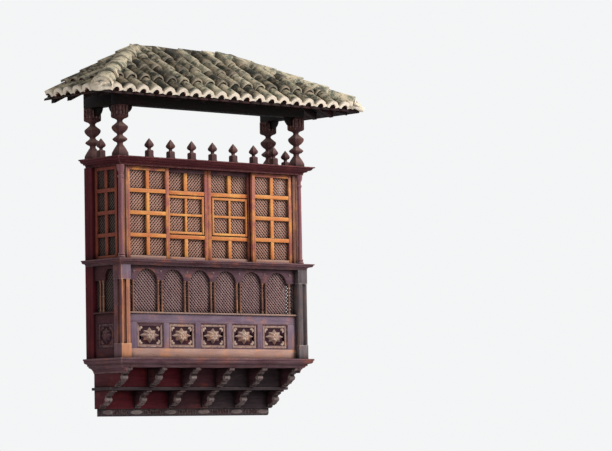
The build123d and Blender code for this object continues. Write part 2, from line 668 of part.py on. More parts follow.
def roof():
    """Eave beams, ledger, rafters, boards, tile slopes and the tiles on the hips and the wall."""
    under_boards = roof_body(rafter_drop)
    front_z, side_z = (eave_beam_foot, eave_beam_top), (eave_beam_foot, flank_beam_top)
    behind = -gallery_face + eave_beam_width
    front_beam = block((-half_width, half_width), (-gallery_face, behind), front_z) & under_boards
    side_beam = block((half_width - eave_beam_width, half_width), (behind, 0), side_z) & under_boards
    write("eave_beam_front", [front_beam])
    write("eave_beams_side", both_sides(side_beam))
    ledger_top = ridge_level - rafter_drop - front_fall * ledger_depth - rafter_over_ledger
    ledger = block((-ridge_half_length, ridge_half_length), (-ledger_depth, 0),
                   (ledger_top - ledger_height, ledger_top))
    write("wall_ledger", [ledger])

    ridge_end, corner = (ridge_half_length, 0), (eave_half_width, -eave_reach)
    mirrored = [(-corner[0], corner[1]), (-ridge_half_length, 0)]
    front_keep = plan_prism([ridge_end, corner] + mirrored, cap_top, roof_top)
    side_keep = plan_prism([ridge_end, corner, (eave_half_width, 0)], cap_top, roof_top)
    boards = roof_layer(board_drop, rafter_drop, roof_board_setback)
    write("roof_boards_front", [boards & front_keep])
    write("roof_boards_sides", both_sides(boards & side_keep))

    start = Vector(ridge_half_length, 0, ridge_level)
    hip = Vector(eave_half_width, -eave_reach, eave_level) - start
    across = Vector(-hip.Y, hip.X).normalized() * hip_rafter_width / 2
    strip = [(start.X + across.X, across.Y), (start.X - across.X, -across.Y)]
    strip += [(x + hip.X, y + hip.Y) for x, y in reversed(strip)]
    hip_strip = plan_prism(strip, cap_top, roof_top)
    zone = roof_layer(rafter_drop, rafter_foot_drop, rafter_setback) - ledger - front_beam
    for beam in both_sides(side_beam):
        zone -= beam
    rafters = both_sides(zone & hip_strip)
    for strip in both_sides(hip_strip):
        zone -= strip
    half, levels = rafter_width / 2, (cap_top, roof_top)
    for k in range(rafter_count):
        x = (k - (rafter_count - 1) / 2) * rafter_pitch
        rafters.append(zone & front_keep & block((x - half, x + half), (-eave_reach, 0), levels))
    for k in range(side_rafter_count):
        y = half + k * side_rafter_pitch
        rafters += both_sides(zone & side_keep & block((0, eave_half_width), (-y - half, -y + half), levels))
    write("rafters", rafters)

    over_roof = block((-eave_half_width, eave_half_width), (-eave_reach, 0), levels) - roof_body(0)
    turn = 180 / ridge_tile_sides
    roll = RegularPolygon(hip_tile_radius, ridge_tile_sides, rotation=turn)
    hips = both_sides(extrude(Plane(start, z_dir=hip) * roll, amount=hip.length) & over_roof)
    roll = RegularPolygon(wall_tile_radius, ridge_tile_sides, rotation=turn)
    wall_row = extrude(Plane.YZ * roll, amount=ridge_half_length + wall_tile_lap, both=True)
    wall_row = Pos(0, 0, ridge_level) * wall_row & over_roof
    front_sheet = tile_sheet(Plane((0, -eave_reach, eave_level), x_dir=(1, 0, 0), z_dir=(0, -1, 0)),
                             -eave_half_width, eave_half_width, (0, eave_reach, roof_rise)) & front_keep
    side_sheet = tile_sheet(Plane((eave_half_width, 0, eave_level), x_dir=(0, 1, 0), z_dir=(1, 0, 0)),
                            -eave_reach, 0, (ridge_half_length - eave_half_width, 0, roof_rise)) & side_keep
    for one in hips:
        wall_row -= one
        front_sheet -= one
        side_sheet -= one
    write("hip_tiles", hips)
    write("wall_tiles", [wall_row])
    write("tiles_front", [front_sheet - wall_row])
    write("tiles_sides", both_sides(side_sheet - wall_row))


os.makedirs("parts", exist_ok=True)
base_pieces()
cornices()
posts()
parapet()
leaves()
gallery()
roof()
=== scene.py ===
"""Looks of an enclosed timber balcony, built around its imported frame.

Lengths are metres in the frame of the part: X along the wall, -Y away from it, +Z up, and the
origin on the back of the lowest beam. Heights of the storeys are measured from the deck.
"""

import json
import logging
import math
import random
from collections.abc import Callable, Iterable, Iterator, Sequence
from contextlib import contextmanager
from dataclasses import dataclass, field
from enum import Enum

import bpy
from mathutils import Matrix, Vector

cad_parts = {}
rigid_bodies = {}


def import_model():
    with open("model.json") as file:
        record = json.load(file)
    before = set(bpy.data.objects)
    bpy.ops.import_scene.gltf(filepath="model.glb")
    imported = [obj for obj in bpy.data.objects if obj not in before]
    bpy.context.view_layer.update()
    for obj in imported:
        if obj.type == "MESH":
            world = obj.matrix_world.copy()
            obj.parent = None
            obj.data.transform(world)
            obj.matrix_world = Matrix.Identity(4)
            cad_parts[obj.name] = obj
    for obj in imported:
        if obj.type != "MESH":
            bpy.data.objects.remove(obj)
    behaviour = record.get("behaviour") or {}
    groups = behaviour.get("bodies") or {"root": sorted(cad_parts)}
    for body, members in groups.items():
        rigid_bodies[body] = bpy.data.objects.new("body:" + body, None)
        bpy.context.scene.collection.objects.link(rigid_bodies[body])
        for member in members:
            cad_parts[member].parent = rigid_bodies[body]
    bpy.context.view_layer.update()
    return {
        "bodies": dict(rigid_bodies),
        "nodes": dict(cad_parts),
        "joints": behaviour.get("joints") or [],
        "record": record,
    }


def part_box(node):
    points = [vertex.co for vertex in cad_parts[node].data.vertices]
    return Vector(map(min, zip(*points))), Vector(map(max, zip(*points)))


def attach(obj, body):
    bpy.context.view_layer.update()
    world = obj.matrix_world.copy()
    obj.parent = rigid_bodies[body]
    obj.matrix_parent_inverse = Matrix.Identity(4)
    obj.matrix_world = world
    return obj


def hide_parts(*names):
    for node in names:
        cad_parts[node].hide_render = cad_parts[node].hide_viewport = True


Colour = tuple[float, float, float]
Span = tuple[float, float]
Point = Sequence[float]
Plane = tuple[Point, Point]
Object = bpy.types.Object
Material = bpy.types.Material
Socket = bpy.types.NodeSocket

BODY = "root"
DECK = 0.616
QUARTER = math.pi / 2
SIDEWAYS = Matrix.Rotation(QUARTER, 4, "Z")
WALL: Plane = ((0, 0, 0), (0, 1, 0))
MERGE = 1e-5
FLAT_ANGLE, SOFT_ANGLE, RING_ANGLE = 0.6, 28, 32
logger = logging.getLogger("balcony")


class Grain(Enum):
    """Direction in which the grain of a board runs, as the stretch of its pattern."""

    ACROSS = (0.10, 1.0, 1.0)
    OUTWARD = (1.0, 0.10, 1.0)
    UPRIGHT = (1.0, 1.0, 0.10)


def at(x: float = 0.0, y: float = 0.0, z: float = 0.0) -> Matrix:
    """The matrix of a shift."""
    return Matrix.Translation((x, y, z))


def turn(angle: float, axis: str) -> Matrix:
    """The matrix of a turn about one axis."""
    return Matrix.Rotation(angle, 4, axis)


def pick(*objs: Object) -> None:
    """Makes some objects the only selected ones and the first of them the active one.

    Args:
        objs: The objects, of which there may be none.
    """
    bpy.ops.object.select_all(action="DESELECT")
    for obj in objs:
        obj.select_set(True)
    if objs:
        bpy.context.view_layer.objects.active = objs[0]


@contextmanager
def editing(obj: Object) -> Iterator[None]:
    """Edit mode on one object with all of it selected, and object mode afterwards.

    Args:
        obj: The object.

    Yields:
        Nothing, once edit mode is on.
    """
    pick(obj)
    bpy.ops.object.mode_set(mode="EDIT")
    bpy.ops.mesh.select_all(action="SELECT")
    yield
    bpy.ops.object.mode_set(mode="OBJECT")


def moved(obj: Object, place: Matrix) -> Object:
    """An object after its mesh was moved by a matrix."""
    obj.data.transform(place)
    return obj


def settle(obj: Object) -> Object:
    """Applies an object's place, turn and size to its mesh.

    Args:
        obj: The object.

    Returns:
        The same object.
    """
    pick(obj)
    bpy.ops.object.transform_apply(location=True, rotation=True, scale=True)
    return obj


def primitive(add: Callable, scale: Point = (1, 1, 1), **settings: object) -> Object:
    """Adds a primitive with its place, turn and size in its mesh.

    Args:
        add: The operator that adds it.
        scale: Its size on each axis.
        settings: Settings of that operator.

    Returns:
        The primitive.
    """
    pick()
    add(**settings)
    bpy.context.object.scale = scale
    return settle(bpy.context.object)


def block(x: Span, y: Span, z: Span) -> Object:
    """A box between two values on each axis.

    Args:
        x: The two along the wall.
        y: The two out from it.
        z: The two upwards.

    Returns:
        The box.
    """
    size = [abs(span[1] - span[0]) for span in (x, y, z)]
    middle = [sum(span) / 2 for span in (x, y, z)]
    return primitive(bpy.ops.mesh.primitive_cube_add, size, size=1, location=middle)


def apply_modifier(obj: Object, kind: str, **settings: object) -> Object:
    """Adds one modifier with its settings and applies it.

    Args:
        obj: The object that gets it.
        kind: Blender's name of the modifier type.
        settings: Its properties.

    Returns:
        The same object.
    """
    pick(obj)
    modifier = obj.modifiers.new(kind.lower(), kind)
    for key, value in settings.items():
        setattr(modifier, key, value)
    bpy.ops.object.modifier_apply(modifier=modifier.name)
    return obj


def shade(obj: Object, degrees: float = 180.0) -> Object:
    """Shades an object smooth, apart from edges sharper than an angle.

    Args:
        obj: The object.
        degrees: That angle.

    Returns:
        The same object.
    """
    pick(obj)
    bpy.ops.object.shade_smooth_by_angle(angle=math.radians(degrees))
    return obj


def soften(obj: Object, width: float, segments: int = 2) -> Object:
    """Rounds the sharp edges, as wear and paint do, and shades the rest smooth.

    Args:
        obj: The object.
        width: Width of the rounding.
        segments: Faces across it.

    Returns:
        The same object.
    """
    apply_modifier(obj, "BEVEL", width=width, segments=segments, limit_method="ANGLE",
                   angle_limit=math.radians(SOFT_ANGLE), use_clamp_overlap=True)
    return shade(obj, SOFT_ANGLE)


def copies(pattern: Object, places: Iterable[Matrix]) -> list[Object]:
    """Sets copies of a pattern, each with its own mesh, and leaves the pattern itself.

    Args:
        pattern: The object to copy.
        places: A matrix for each copy.

    Returns:
        The copies.
    """
    made = []
    for place in places:
        twin = pattern.copy()
        twin.data = pattern.data.copy()
        bpy.context.collection.objects.link(twin)
        made.append(moved(twin, place))
    return made


def drop(*patterns: Object) -> None:
    """Deletes patterns once their copies are made."""
    for pattern in patterns:
        bpy.data.objects.remove(pattern, do_unlink=True)


def both_sides(parts: Sequence[Object]) -> list[Object]:
    """Objects and their mirror images on the other side of X = 0.

    Args:
        parts: The objects.

    Returns:
        The objects, then their images, whose faces still point outwards.
    """
    twins = [twin for part in parts for twin in copies(part, [Matrix.Diagonal((-1, 1, 1, 1))])]
    for twin in twins:
        twin.data.flip_normals()
    return [*parts, *twins]


def join(parts: Sequence[Object]) -> Object:
    """Joins objects into one that keeps all their materials.

    Args:
        parts: The objects, at least one.

    Returns:
        The joined object.
    """
    pick(*parts)
    if len(parts) > 1:
        bpy.ops.object.join()
    return parts[0]


def outward(obj: Object) -> Object:
    """Merges an object's doubled vertices and turns its faces outwards.

    Args:
        obj: The object.

    Returns:
        The same object.
    """
    with editing(obj):
        bpy.ops.mesh.remove_doubles(threshold=MERGE)
        bpy.ops.mesh.normals_make_consistent(inside=False)
    return obj


def swept(points: Sequence[Point], close: bool, sweep: Callable[[], object]) -> Object:
    """Draws an outline by extruding one vertex from point to point, and sweeps it.

    Args:
        points: Corners in order.
        close: Whether the outline comes back to its first corner and is filled.
        sweep: Sweeps what is selected.

    Returns:
        The closed mesh.
    """
    obj = primitive(bpy.ops.mesh.primitive_plane_add, size=0.001, location=points[0])
    route = [Vector(point) for point in (*points, points[0])[:len(points) + close]]
    with editing(obj):
        bpy.ops.mesh.merge(type="CENTER")
        for before, after in zip(route, route[1:]):
            bpy.ops.mesh.extrude_vertices_move(TRANSFORM_OT_translate={"value": after - before})
        bpy.ops.mesh.select_all(action="SELECT")
        if close:
            bpy.ops.mesh.remove_doubles(threshold=1e-6)
            bpy.ops.mesh.edge_face_add()
        sweep()
    return outward(obj)


def prism(points: Sequence[Point], rise: float) -> Object:
    """A solid of one outline that runs straight up."""
    move = {"value": (0, 0, rise)}
    return swept(points, True, lambda: bpy.ops.mesh.extrude_region_move(TRANSFORM_OT_translate=move))


def turning(profile: Sequence[Span], steps: int = 14) -> Object:
    """A turned solid about the Z axis.

    Args:
        profile: Radius and height from the foot to the head.
        steps: Faces around it.

    Returns:
        The turning, standing at the origin.
    """
    closed = [(0, profile[0][1]), *profile, (0, profile[-1][1])]
    obj = swept([(radius, 0, height) for radius, height in closed], False, lambda: bpy.ops.mesh.spin(
        steps=steps, angle=math.tau, center=(0, 0, 0), axis=(0, 0, 1)))
    return shade(obj, RING_ANGLE)


def cut(obj: Object, *planes: Plane, clear: bool = True, fill: bool = True) -> Object:
    """Cuts an object by planes.

    Args:
        obj: The object.
        planes: A point and the normal of each.
        clear: Whether what lies on the normal's side is removed.
        fill: Whether the cuts are then closed.

    Returns:
        The same object.
    """
    for point, normal in planes:
        with editing(obj):
            bpy.ops.mesh.bisect(plane_co=point, plane_no=normal, use_fill=fill, clear_outer=clear,
                                threshold=1e-6)
    return obj


def planked(obj: Object, axis: int, pitch: float, gap: float) -> list[Object]:
    """Saws an object into boards along planes across one axis.

    Args:
        obj: The object, which is used up.
        axis: 0 for planes across X, 1 across Y.
        pitch: Width of a board.
        gap: Joint between two boards.

    Returns:
        The boards.
    """
    places = [corner[axis] for corner in obj.bound_box]
    low, high = min(places), max(places)
    count = max(1, round((high - low) / pitch))
    step = (high - low) / count
    normal = Vector((axis == 0, axis == 1, 0))
    boards = copies(obj, [Matrix.Identity(4)] * count)
    for k, board in enumerate(boards):
        for place, way in ((low + k * step + gap / 2, -1), (low + (k + 1) * step - gap / 2, 1)):
            if low < place < high:
                cut(board, (normal * place, normal * way))
    drop(obj)
    return boards


def mark(obj: Object, name: str, values: float | Sequence[float], domain: str = "FACE") -> Object:
    """Writes an attribute that the object's finish reads.

    Args:
        obj: The object.
        name: The attribute's name.
        values: One value for all, or one for each face or point.
        domain: FACE or POINT.

    Returns:
        The same object.
    """
    layer = obj.data.attributes.get(name) or obj.data.attributes.new(name, "FLOAT", domain)
    if isinstance(values, float):
        values = [values] * len(layer.data)
    layer.data.foreach_set("value", values)
    return obj


class NodeBench:
    """Adds and wires shader nodes in one tree."""

    def __init__(self, tree: bpy.types.NodeTree) -> None:
        """Keeps the tree that the nodes go into."""
        self.tree = tree

    def feed(self, node: bpy.types.Node, values: dict) -> bpy.types.Node:
        """Gives a node's inputs their links and values.

        Args:
            node: The node.
            values: Input name or index to a number, a colour or another node's output.

        Returns:
            The same node.
        """
        for key, value in values.items():
            if isinstance(value, Socket):
                self.tree.links.new(value, node.inputs[key])
            else:
                node.inputs[key].default_value = value
        return node

    def add(self, kind: str, values: dict | None = None, **settings: object) -> bpy.types.Node:
        """Adds one node.

        Args:
            kind: Node type, without its ShaderNode prefix.
            values: What its inputs get, as feed takes it.
            settings: The node's properties.

        Returns:
            The node.
        """
        node = self.tree.nodes.new(kind if kind.startswith("Node") else "ShaderNode" + kind)
        for key, value in settings.items():
            setattr(node, key, value)
        return self.feed(node, values or {})

    def noise(self, vector: Socket, scale: float, detail: float = 4.0, roughness: float = 0.55) -> Socket:
        """Value of a noise texture on the given coordinates."""
        values = {"Vector": vector, "Scale": scale, "Detail": detail, "Roughness": roughness}
        return self.add("TexNoise", values).outputs[0]

    def ranged(self, value: Socket, low: float, high: float, start: float = 0.0, end: float = 1.0,
               **settings: object) -> Socket:
        """Maps a value from one range, 0 to 1 if not given, to another.

        Args:
            value: The value.
            low: What it becomes at the start of its range.
            high: What it becomes at the end.
            start: Start of its range.
            end: End of its range.
            settings: Further properties of the node.

        Returns:
            The mapped value.
        """
        values = {"Value": value, "From Min": start, "From Max": end, "To Min": low, "To Max": high}
        return self.add("MapRange", values, **settings).outputs[0]

    def spread(self, value: Socket, start: float, end: float) -> Socket:
        """Stretches the part of a value between two limits softly to the range 0 to 1."""
        return self.ranged(value, 0.0, 1.0, start, end, interpolation_type="SMOOTHSTEP")

    def maths(self, operation: str, first: object, second: object) -> Socket:
        """One arithmetic step, kept between 0 and 1."""
        return self.add("Math", {0: first, 1: second}, operation=operation, use_clamp=True).outputs[0]

    def times(self, first: object, second: object) -> Socket:
        """The product of two values."""
        return self.maths("MULTIPLY", first, second)

    def plus(self, first: object, second: object) -> Socket:
        """The sum of two values."""
        return self.maths("ADD", first, second)

    def weighted(self, first: Socket, share: float, second: Socket, rest: float) -> Socket:
        """The sum of two values, each with its weight."""
        return self.plus(self.times(first, share), self.times(second, rest))

    def blend(self, factor: object, low: object, high: object) -> Socket:
        """Mixes two colours by a factor."""
        low, high = (value if isinstance(value, Socket) else (*value, 1.0) for value in (low, high))
        return self.add("Mix", {0: factor, 6: low, 7: high}, data_type="RGBA").outputs[2]

    def mark(self, name: str) -> Socket:
        """An attribute of the mesh."""
        return self.add("Attribute", attribute_name=name).outputs["Fac"]

    def bump(self, height: Socket, distance: float, strength: float) -> Socket:
        """The normal of a relief."""
        return self.add("Bump", {"Height": height, "Distance": distance, "Strength": strength}).outputs[0]

    def group(self, name: str, wire: Callable, **given: object) -> dict[str, Socket]:
        """Places a shared group of nodes, which is wired when it is first used.

        Args:
            name: The group's name.
            wire: Gives the group's outputs, from its bench and its inputs.
            given: What the group's inputs get here, a float where the input is one.

        Returns:
            Its outputs by name.
        """
        tree = bpy.data.node_groups.get(name)
        if not tree:
            tree = bpy.data.node_groups.new(name, "ShaderNodeTree")
            for socket, value in given.items():
                kind = "NodeSocketFloat" if isinstance(value, float) else "NodeSocketVector"
                tree.interface.new_socket(name=socket, in_out="INPUT", socket_type=kind)
            inner = NodeBench(tree)
            made = wire(inner, inner.add("NodeGroupInput").outputs)
            for socket in made:
                tree.interface.new_socket(name=socket, in_out="OUTPUT", socket_type="NodeSocketFloat")
            inner.add("NodeGroupOutput", made)
        return self.add("Group", given, node_tree=tree).outputs


def wire_grain(bench: NodeBench, given: dict[str, Socket]) -> dict[str, Socket]:
    """Streaks of weather along the grain, the fine grain itself, and their relief.

    Args:
        bench: The group's bench.
        given: The inputs Place and Stretch.

    Returns:
        The outputs by name.
    """
    along = bench.add("VectorMath", {0: given["Place"], 1: given["Stretch"]}, operation="MULTIPLY").outputs[0]
    wander = bench.add("TexNoise", {"Vector": given["Place"], "Scale": 2.5, "Detail": 2.0}).outputs["Color"]
    drift = {0: wander, 1: (0.05, 0.05, 0.05), 2: along}
    bent = bench.add("VectorMath", drift, operation="MULTIPLY_ADD").outputs[0]
    streaks = bench.spread(bench.noise(bent, 26.0, 5.0, 0.62), 0.38, 0.64)
    fine = bench.noise(bent, 150.0, 3.0, 0.65)
    return {"Streaks": streaks, "Fine": fine, "Relief": bench.weighted(streaks, 0.35, fine, 0.65)}


def wire_exposure(bench: NodeBench, given: dict[str, Socket]) -> dict[str, Socket]:
    """Masks of worn edges, of recesses to darken as painted shade, and of surfaces that face the sky.

    Args:
        bench: The group's bench.
        given: The inputs Place and Reach.

    Returns:
        The outputs by name.
    """
    inner = bench.add("AmbientOcclusion", {"Distance": given["Reach"]}, inside=True, samples=4).outputs["AO"]
    # The outer occlusion marks recesses, which the finishes darken as painted shade.
    outer = bench.add("AmbientOcclusion", {"Distance": 0.09}, samples=4).outputs["AO"]
    ragged = bench.spread(bench.noise(given["Place"], 38.0, 3.0), 0.3, 0.7)
    up = bench.add("SeparateXYZ", {0: bench.add("NewGeometry").outputs["Normal"]}).outputs[2]
    return {"Edge": bench.times(bench.spread(inner, 0.9, 0.45), ragged),
            "Recess": bench.spread(outer, 0.92, 0.35), "Sky": bench.spread(up, 0.15, 0.9)}


@dataclass(frozen=True)
class TimberFinish:
    """A stained timber surface that has stood in sun and rain.

    Attributes:
        stain: Colour where the stain holds.
        faded: Colour of the streaks where it has gone.
        raw: Colour of the patches where the timber shows through.
        bare: Colour of worn edges and of surfaces that face the sky.
        fade: How much of the surface the streaks take.
        rawness: How much of it the patches take.
        wear: How strongly edges are worn.
        roughness: Roughness of the sound surface.
    """

    stain: Colour
    faded: Colour
    raw: Colour
    bare: Colour
    fade: float
    rawness: float
    wear: float
    roughness: float = 0.62

    def pattern(self, bench: NodeBench, place: Socket, grain: Grain) -> dict:
        """Wires the finish.

        Args:
            bench: The material's bench.
            place: Coordinates on the object.
            grain: Direction of the grain.

        Returns:
            What the shader's inputs get.
        """
        lines = bench.group("timber grain", wire_grain, Place=place, Stretch=grain.value)
        masks = bench.group("exposure", wire_exposure, Place=place, Reach=0.012)
        patches = bench.spread(bench.noise(place, 3.2, 3.0), 0.35, 0.65)
        amount = bench.times(bench.weighted(lines["Streaks"], 0.6, patches, 0.4), self.fade)
        amount = bench.plus(amount, bench.ranged(bench.mark("tone"), -0.28, 0.40))
        colour = bench.blend(amount, self.stain, self.faded)
        shows = bench.spread(bench.noise(place, 5.3, 4.0, 0.6), 0.62 - 0.25 * self.rawness, 0.66)
        shows = bench.times(shows, bench.plus(lines["Streaks"], 0.25))
        colour = bench.blend(bench.times(shows, self.rawness), colour, self.raw)
        worn = bench.weighted(masks["Edge"], self.wear, masks["Sky"], self.wear * 0.8)
        colour = bench.blend(worn, colour, self.bare)
        # Painted shade in recesses, and real dirt along the fine grain, darken the colour towards a dark
        # stain.
        recess_shade_and_grain_dirt = bench.weighted(masks["Recess"], 0.9, bench.spread(lines["Fine"], 0.45, 0.2), 0.35)
        colour = bench.blend(recess_shade_and_grain_dirt, colour, tuple(channel * 0.12 for channel in self.stain))
        rough = bench.ranged(lines["Fine"], self.roughness - 0.12, self.roughness + 0.22)
        return {"Base Color": colour, "Roughness": rough, "Normal": bench.bump(lines["Relief"], 0.004, 0.45),
                "Specular IOR Level": 0.16}


@dataclass(frozen=True)
class ClayFinish:
    """Old roof tile clay: buff and grey with lichen above, terracotta inside, pale at its ends; painted shade
    underneath and in recesses.

    Attributes:
        clay: Colour of the sound clay.
        pale: Colour of the driest tiles.
        lichen: Colour of the lichen crust.
        growth_and_shade: Colour of the darkest growth, and of the painted shade in recesses and under a tile.
        lip: Colour of the cut ends.
        inside: Colour under a tile.
    """

    clay: Colour
    pale: Colour
    lichen: Colour
    growth_and_shade: Colour
    lip: Colour
    inside: Colour

    def pattern(self, bench: NodeBench, place: Socket, _grain: Grain) -> dict:
        """Wires the finish, which reads the tiles' own tone, end and inner marks.

        Args:
            bench: The material's bench.
            place: Coordinates on the object.
            _grain: Not read, since clay has no grain.

        Returns:
            What the shader's inputs get.
        """
        tone, end, inner = (bench.mark(name) for name in ("tone", "end", "inner"))
        masks = bench.group("exposure", wire_exposure, Place=place, Reach=0.02)
        crust = bench.noise(place, 11.0, 6.0, 0.68)
        drift = bench.ranged(bench.noise(place, 1.9, 3.0), -0.07, 0.09, 0.35, 0.65)
        shift = bench.plus(bench.plus(crust, bench.ranged(tone, 0.15, -0.12)), drift)
        spots = bench.spread(bench.noise(place, 48.0, 4.0, 0.7), 0.52, 0.68)
        colour = bench.blend(tone, self.clay, self.pale)
        # Layers in turn: lichen, dark growth in spots and drifts, painted shade in recesses, pale ends,
        # painted shade under each tile, and terracotta showing through it.
        for amount, layer in ((bench.spread(crust, 0.44, 0.62), self.lichen),
                              (bench.times(spots, 0.65), self.growth_and_shade),
                              (bench.times(bench.spread(shift, 0.50, 0.68), 0.9), self.growth_and_shade),
                              (bench.times(masks["Recess"], 0.75), self.growth_and_shade),
                              (bench.times(end, bench.spread(crust, 0.84, 0.50)), self.lip),
                              (inner, self.growth_and_shade),
                              (bench.times(inner, bench.spread(crust, 0.35, 0.50)), self.inside)):
            colour = bench.blend(amount, colour, layer)
        relief = bench.bump(bench.weighted(crust, 0.7, spots, 0.3), 0.008, 0.6)
        return {"Base Color": colour, "Roughness": bench.ranged(crust, 0.72, 0.98), "Normal": relief,
                "Specular IOR Level": 0.2}


class Finish(Enum):
    """The finishes of the balcony."""

    OXBLOOD_BOARDS = TimberFinish((0.055, 0.003, 0.007), (0.13, 0.012, 0.018), (0.25, 0.04, 0.025),
                                  (0.24, 0.12, 0.1), 0.6, 0.25, 0.3)
    OXBLOOD_CAP = TimberFinish((0.06, 0.008, 0.012), (0.13, 0.026, 0.03), (0.26, 0.06, 0.05),
                               (0.36, 0.17, 0.14), 0.6, 0.35, 0.6)
    CORNICE = TimberFinish((0.085, 0.03, 0.04), (0.2, 0.11, 0.122), (0.4, 0.11, 0.05), (0.36, 0.24, 0.21),
                           0.75, 0.45, 0.5)
    CORBEL = TimberFinish((0.026, 0.008, 0.01), (0.075, 0.03, 0.036), (0.15, 0.03, 0.025), (0.3, 0.22, 0.2),
                          0.6, 0.3, 0.6)
    # Pale finish of the nose rolls and the beam's pads.
    PALE_NOSE = TimberFinish((0.034, 0.014, 0.016), (0.26, 0.2, 0.185), (0.22, 0.07, 0.045),
                                 (0.42, 0.34, 0.31), 0.6, 0.3, 0.22)
    LEDGE = TimberFinish((0.026, 0.014, 0.016), (0.085, 0.058, 0.062), (0.13, 0.05, 0.045),
                         (0.34, 0.28, 0.26), 0.6, 0.2, 0.5)
    MAUVE_FRAME = TimberFinish((0.145, 0.088, 0.13), (0.265, 0.19, 0.225), (0.52, 0.2, 0.11),
                               (0.56, 0.36, 0.28), 0.7, 0.45, 0.6)
    # Dark finish of both flanks: painted shade.
    SHADED_FLANK = TimberFinish((0.04, 0.01, 0.014), (0.085, 0.028, 0.034), (0.3, 0.05, 0.025),
                              (0.3, 0.16, 0.14), 0.7, 0.3, 0.5)
    GOLDEN_POST = TimberFinish((0.31, 0.103, 0.072), (0.62, 0.275, 0.145), (0.66, 0.28, 0.11),
                               (0.8, 0.52, 0.27), 0.7, 0.4, 0.8)
    GREY_POST = TimberFinish((0.085, 0.062, 0.066), (0.19, 0.15, 0.15), (0.3, 0.14, 0.09),
                             (0.5, 0.42, 0.38), 0.7, 0.35, 0.8)
    SHAFT = TimberFinish((0.185, 0.058, 0.075), (0.33, 0.155, 0.165), (0.54, 0.16, 0.075), (0.6, 0.4, 0.35),
                         0.7, 0.4, 0.6)
    ARCADE = TimberFinish((0.066, 0.026, 0.036), (0.18, 0.1, 0.12), (0.44, 0.14, 0.06), (0.42, 0.26, 0.22),
                          0.6, 0.4, 0.5)
    COLUMN = TimberFinish((0.11, 0.042, 0.046), (0.38, 0.175, 0.105), (0.6, 0.23, 0.08), (0.72, 0.44, 0.26),
                          0.7, 0.5, 0.7)
    BLEACHED_SILL = TimberFinish((0.4, 0.225, 0.19), (0.58, 0.35, 0.27), (0.8, 0.32, 0.12),
                                 (0.8, 0.6, 0.48), 0.7, 0.6, 0.5)
    CARVED_RELIEF = TimberFinish((0.26, 0.15, 0.13), (0.44, 0.28, 0.22), (0.58, 0.27, 0.12),
                                 (0.74, 0.56, 0.44), 0.6, 0.55, 0.7)
    PANEL_BORDER = TimberFinish((0.085, 0.036, 0.045), (0.19, 0.105, 0.115), (0.42, 0.13, 0.07),
                                (0.3, 0.19, 0.18), 0.7, 0.4, 0.15)
    # Near-black ground of the sunk panels: painted shade in the recess.
    CARVED_GROUND = TimberFinish((0.03, 0.006, 0.012), (0.055, 0.018, 0.026), (0.14, 0.02, 0.02),
                                 (0.14, 0.08, 0.08), 0.5, 0.3, 0.3)
    HONEY_LEAF = TimberFinish((0.58, 0.165, 0.05), (0.8, 0.34, 0.095), (0.86, 0.43, 0.09),
                              (0.92, 0.66, 0.36), 0.7, 0.6, 0.7, 0.5)
    ROSE_LEAF = TimberFinish((0.3, 0.078, 0.07), (0.54, 0.2, 0.125), (0.84, 0.35, 0.08), (0.78, 0.46, 0.28),
                             0.65, 0.85, 0.6, 0.52)
    # Darker leaf finish of the flanks: painted shade.
    SHADED_FLANK_LEAF = TimberFinish((0.19, 0.038, 0.03), (0.31, 0.09, 0.048), (0.48, 0.13, 0.04),
                              (0.54, 0.27, 0.15), 0.65, 0.4, 0.4, 0.55)
    LATH = TimberFinish((0.365, 0.172, 0.128), (0.58, 0.325, 0.24), (0.54, 0.22, 0.1), (0.64, 0.43, 0.34),
                        0.8, 0.3, 0.3)
    DUSKY_LATH = TimberFinish((0.2, 0.105, 0.108), (0.33, 0.205, 0.2), (0.4, 0.16, 0.09), (0.5, 0.34, 0.3),
                              0.8, 0.3, 0.3)
    # Darker lath finish of the flanks: painted shade.
    SHADED_FLANK_LATH = TimberFinish((0.06, 0.036, 0.034), (0.11, 0.08, 0.07), (0.13, 0.06, 0.04),
                              (0.2, 0.14, 0.12), 0.8, 0.3, 0.3)
    GALLERY = TimberFinish((0.04, 0.01, 0.011), (0.165, 0.075, 0.072), (0.28, 0.11, 0.07),
                           (0.44, 0.27, 0.23), 0.6, 0.35, 0.7)
    # Nearly black: painted shadow under the roof.
    EAVE_BEAM = TimberFinish((0.004, 0.0015, 0.001), (0.009, 0.003, 0.002), (0.03, 0.004, 0.003),
                             (0.03, 0.012, 0.009), 0.5, 0.2, 0.3)
    # Nearly black: painted shade under the roof.
    ROOF_TIMBER = TimberFinish((0.012, 0.003, 0.003), (0.03, 0.008, 0.007), (0.09, 0.012, 0.008),
                               (0.04, 0.012, 0.01), 0.5, 0.35, 0.1)
    LICHENED_CLAY = ClayFinish((0.27, 0.205, 0.13), (0.74, 0.62, 0.43), (0.19, 0.205, 0.15),
                               (0.034, 0.032, 0.026), (0.9, 0.76, 0.6), (0.22, 0.045, 0.02))
    SHADED_MORTAR = ClayFinish((0.06, 0.045, 0.036), (0.09, 0.07, 0.055), (0.04, 0.034, 0.028),
                               (0.02, 0.016, 0.014), (0.09, 0.07, 0.055), (0.05, 0.02, 0.012))

    def coat(self, grain: Grain = Grain.UPRIGHT) -> Material:
        """The material of this finish, made once for each direction of the grain.

        Args:
            grain: Direction of the grain.

        Returns:
            The material.
        """
        name = f"{self.name} {grain.name}".replace("_", " ").lower()
        material = bpy.data.materials.get(name)
        if not material:
            material = bpy.data.materials.new(name)
            material.use_nodes = True
            bench = NodeBench(material.node_tree)
            place = bench.add("TexCoord").outputs["Object"]
            bench.feed(bench.tree.nodes["Principled BSDF"], self.value.pattern(bench, place, grain))
        return material


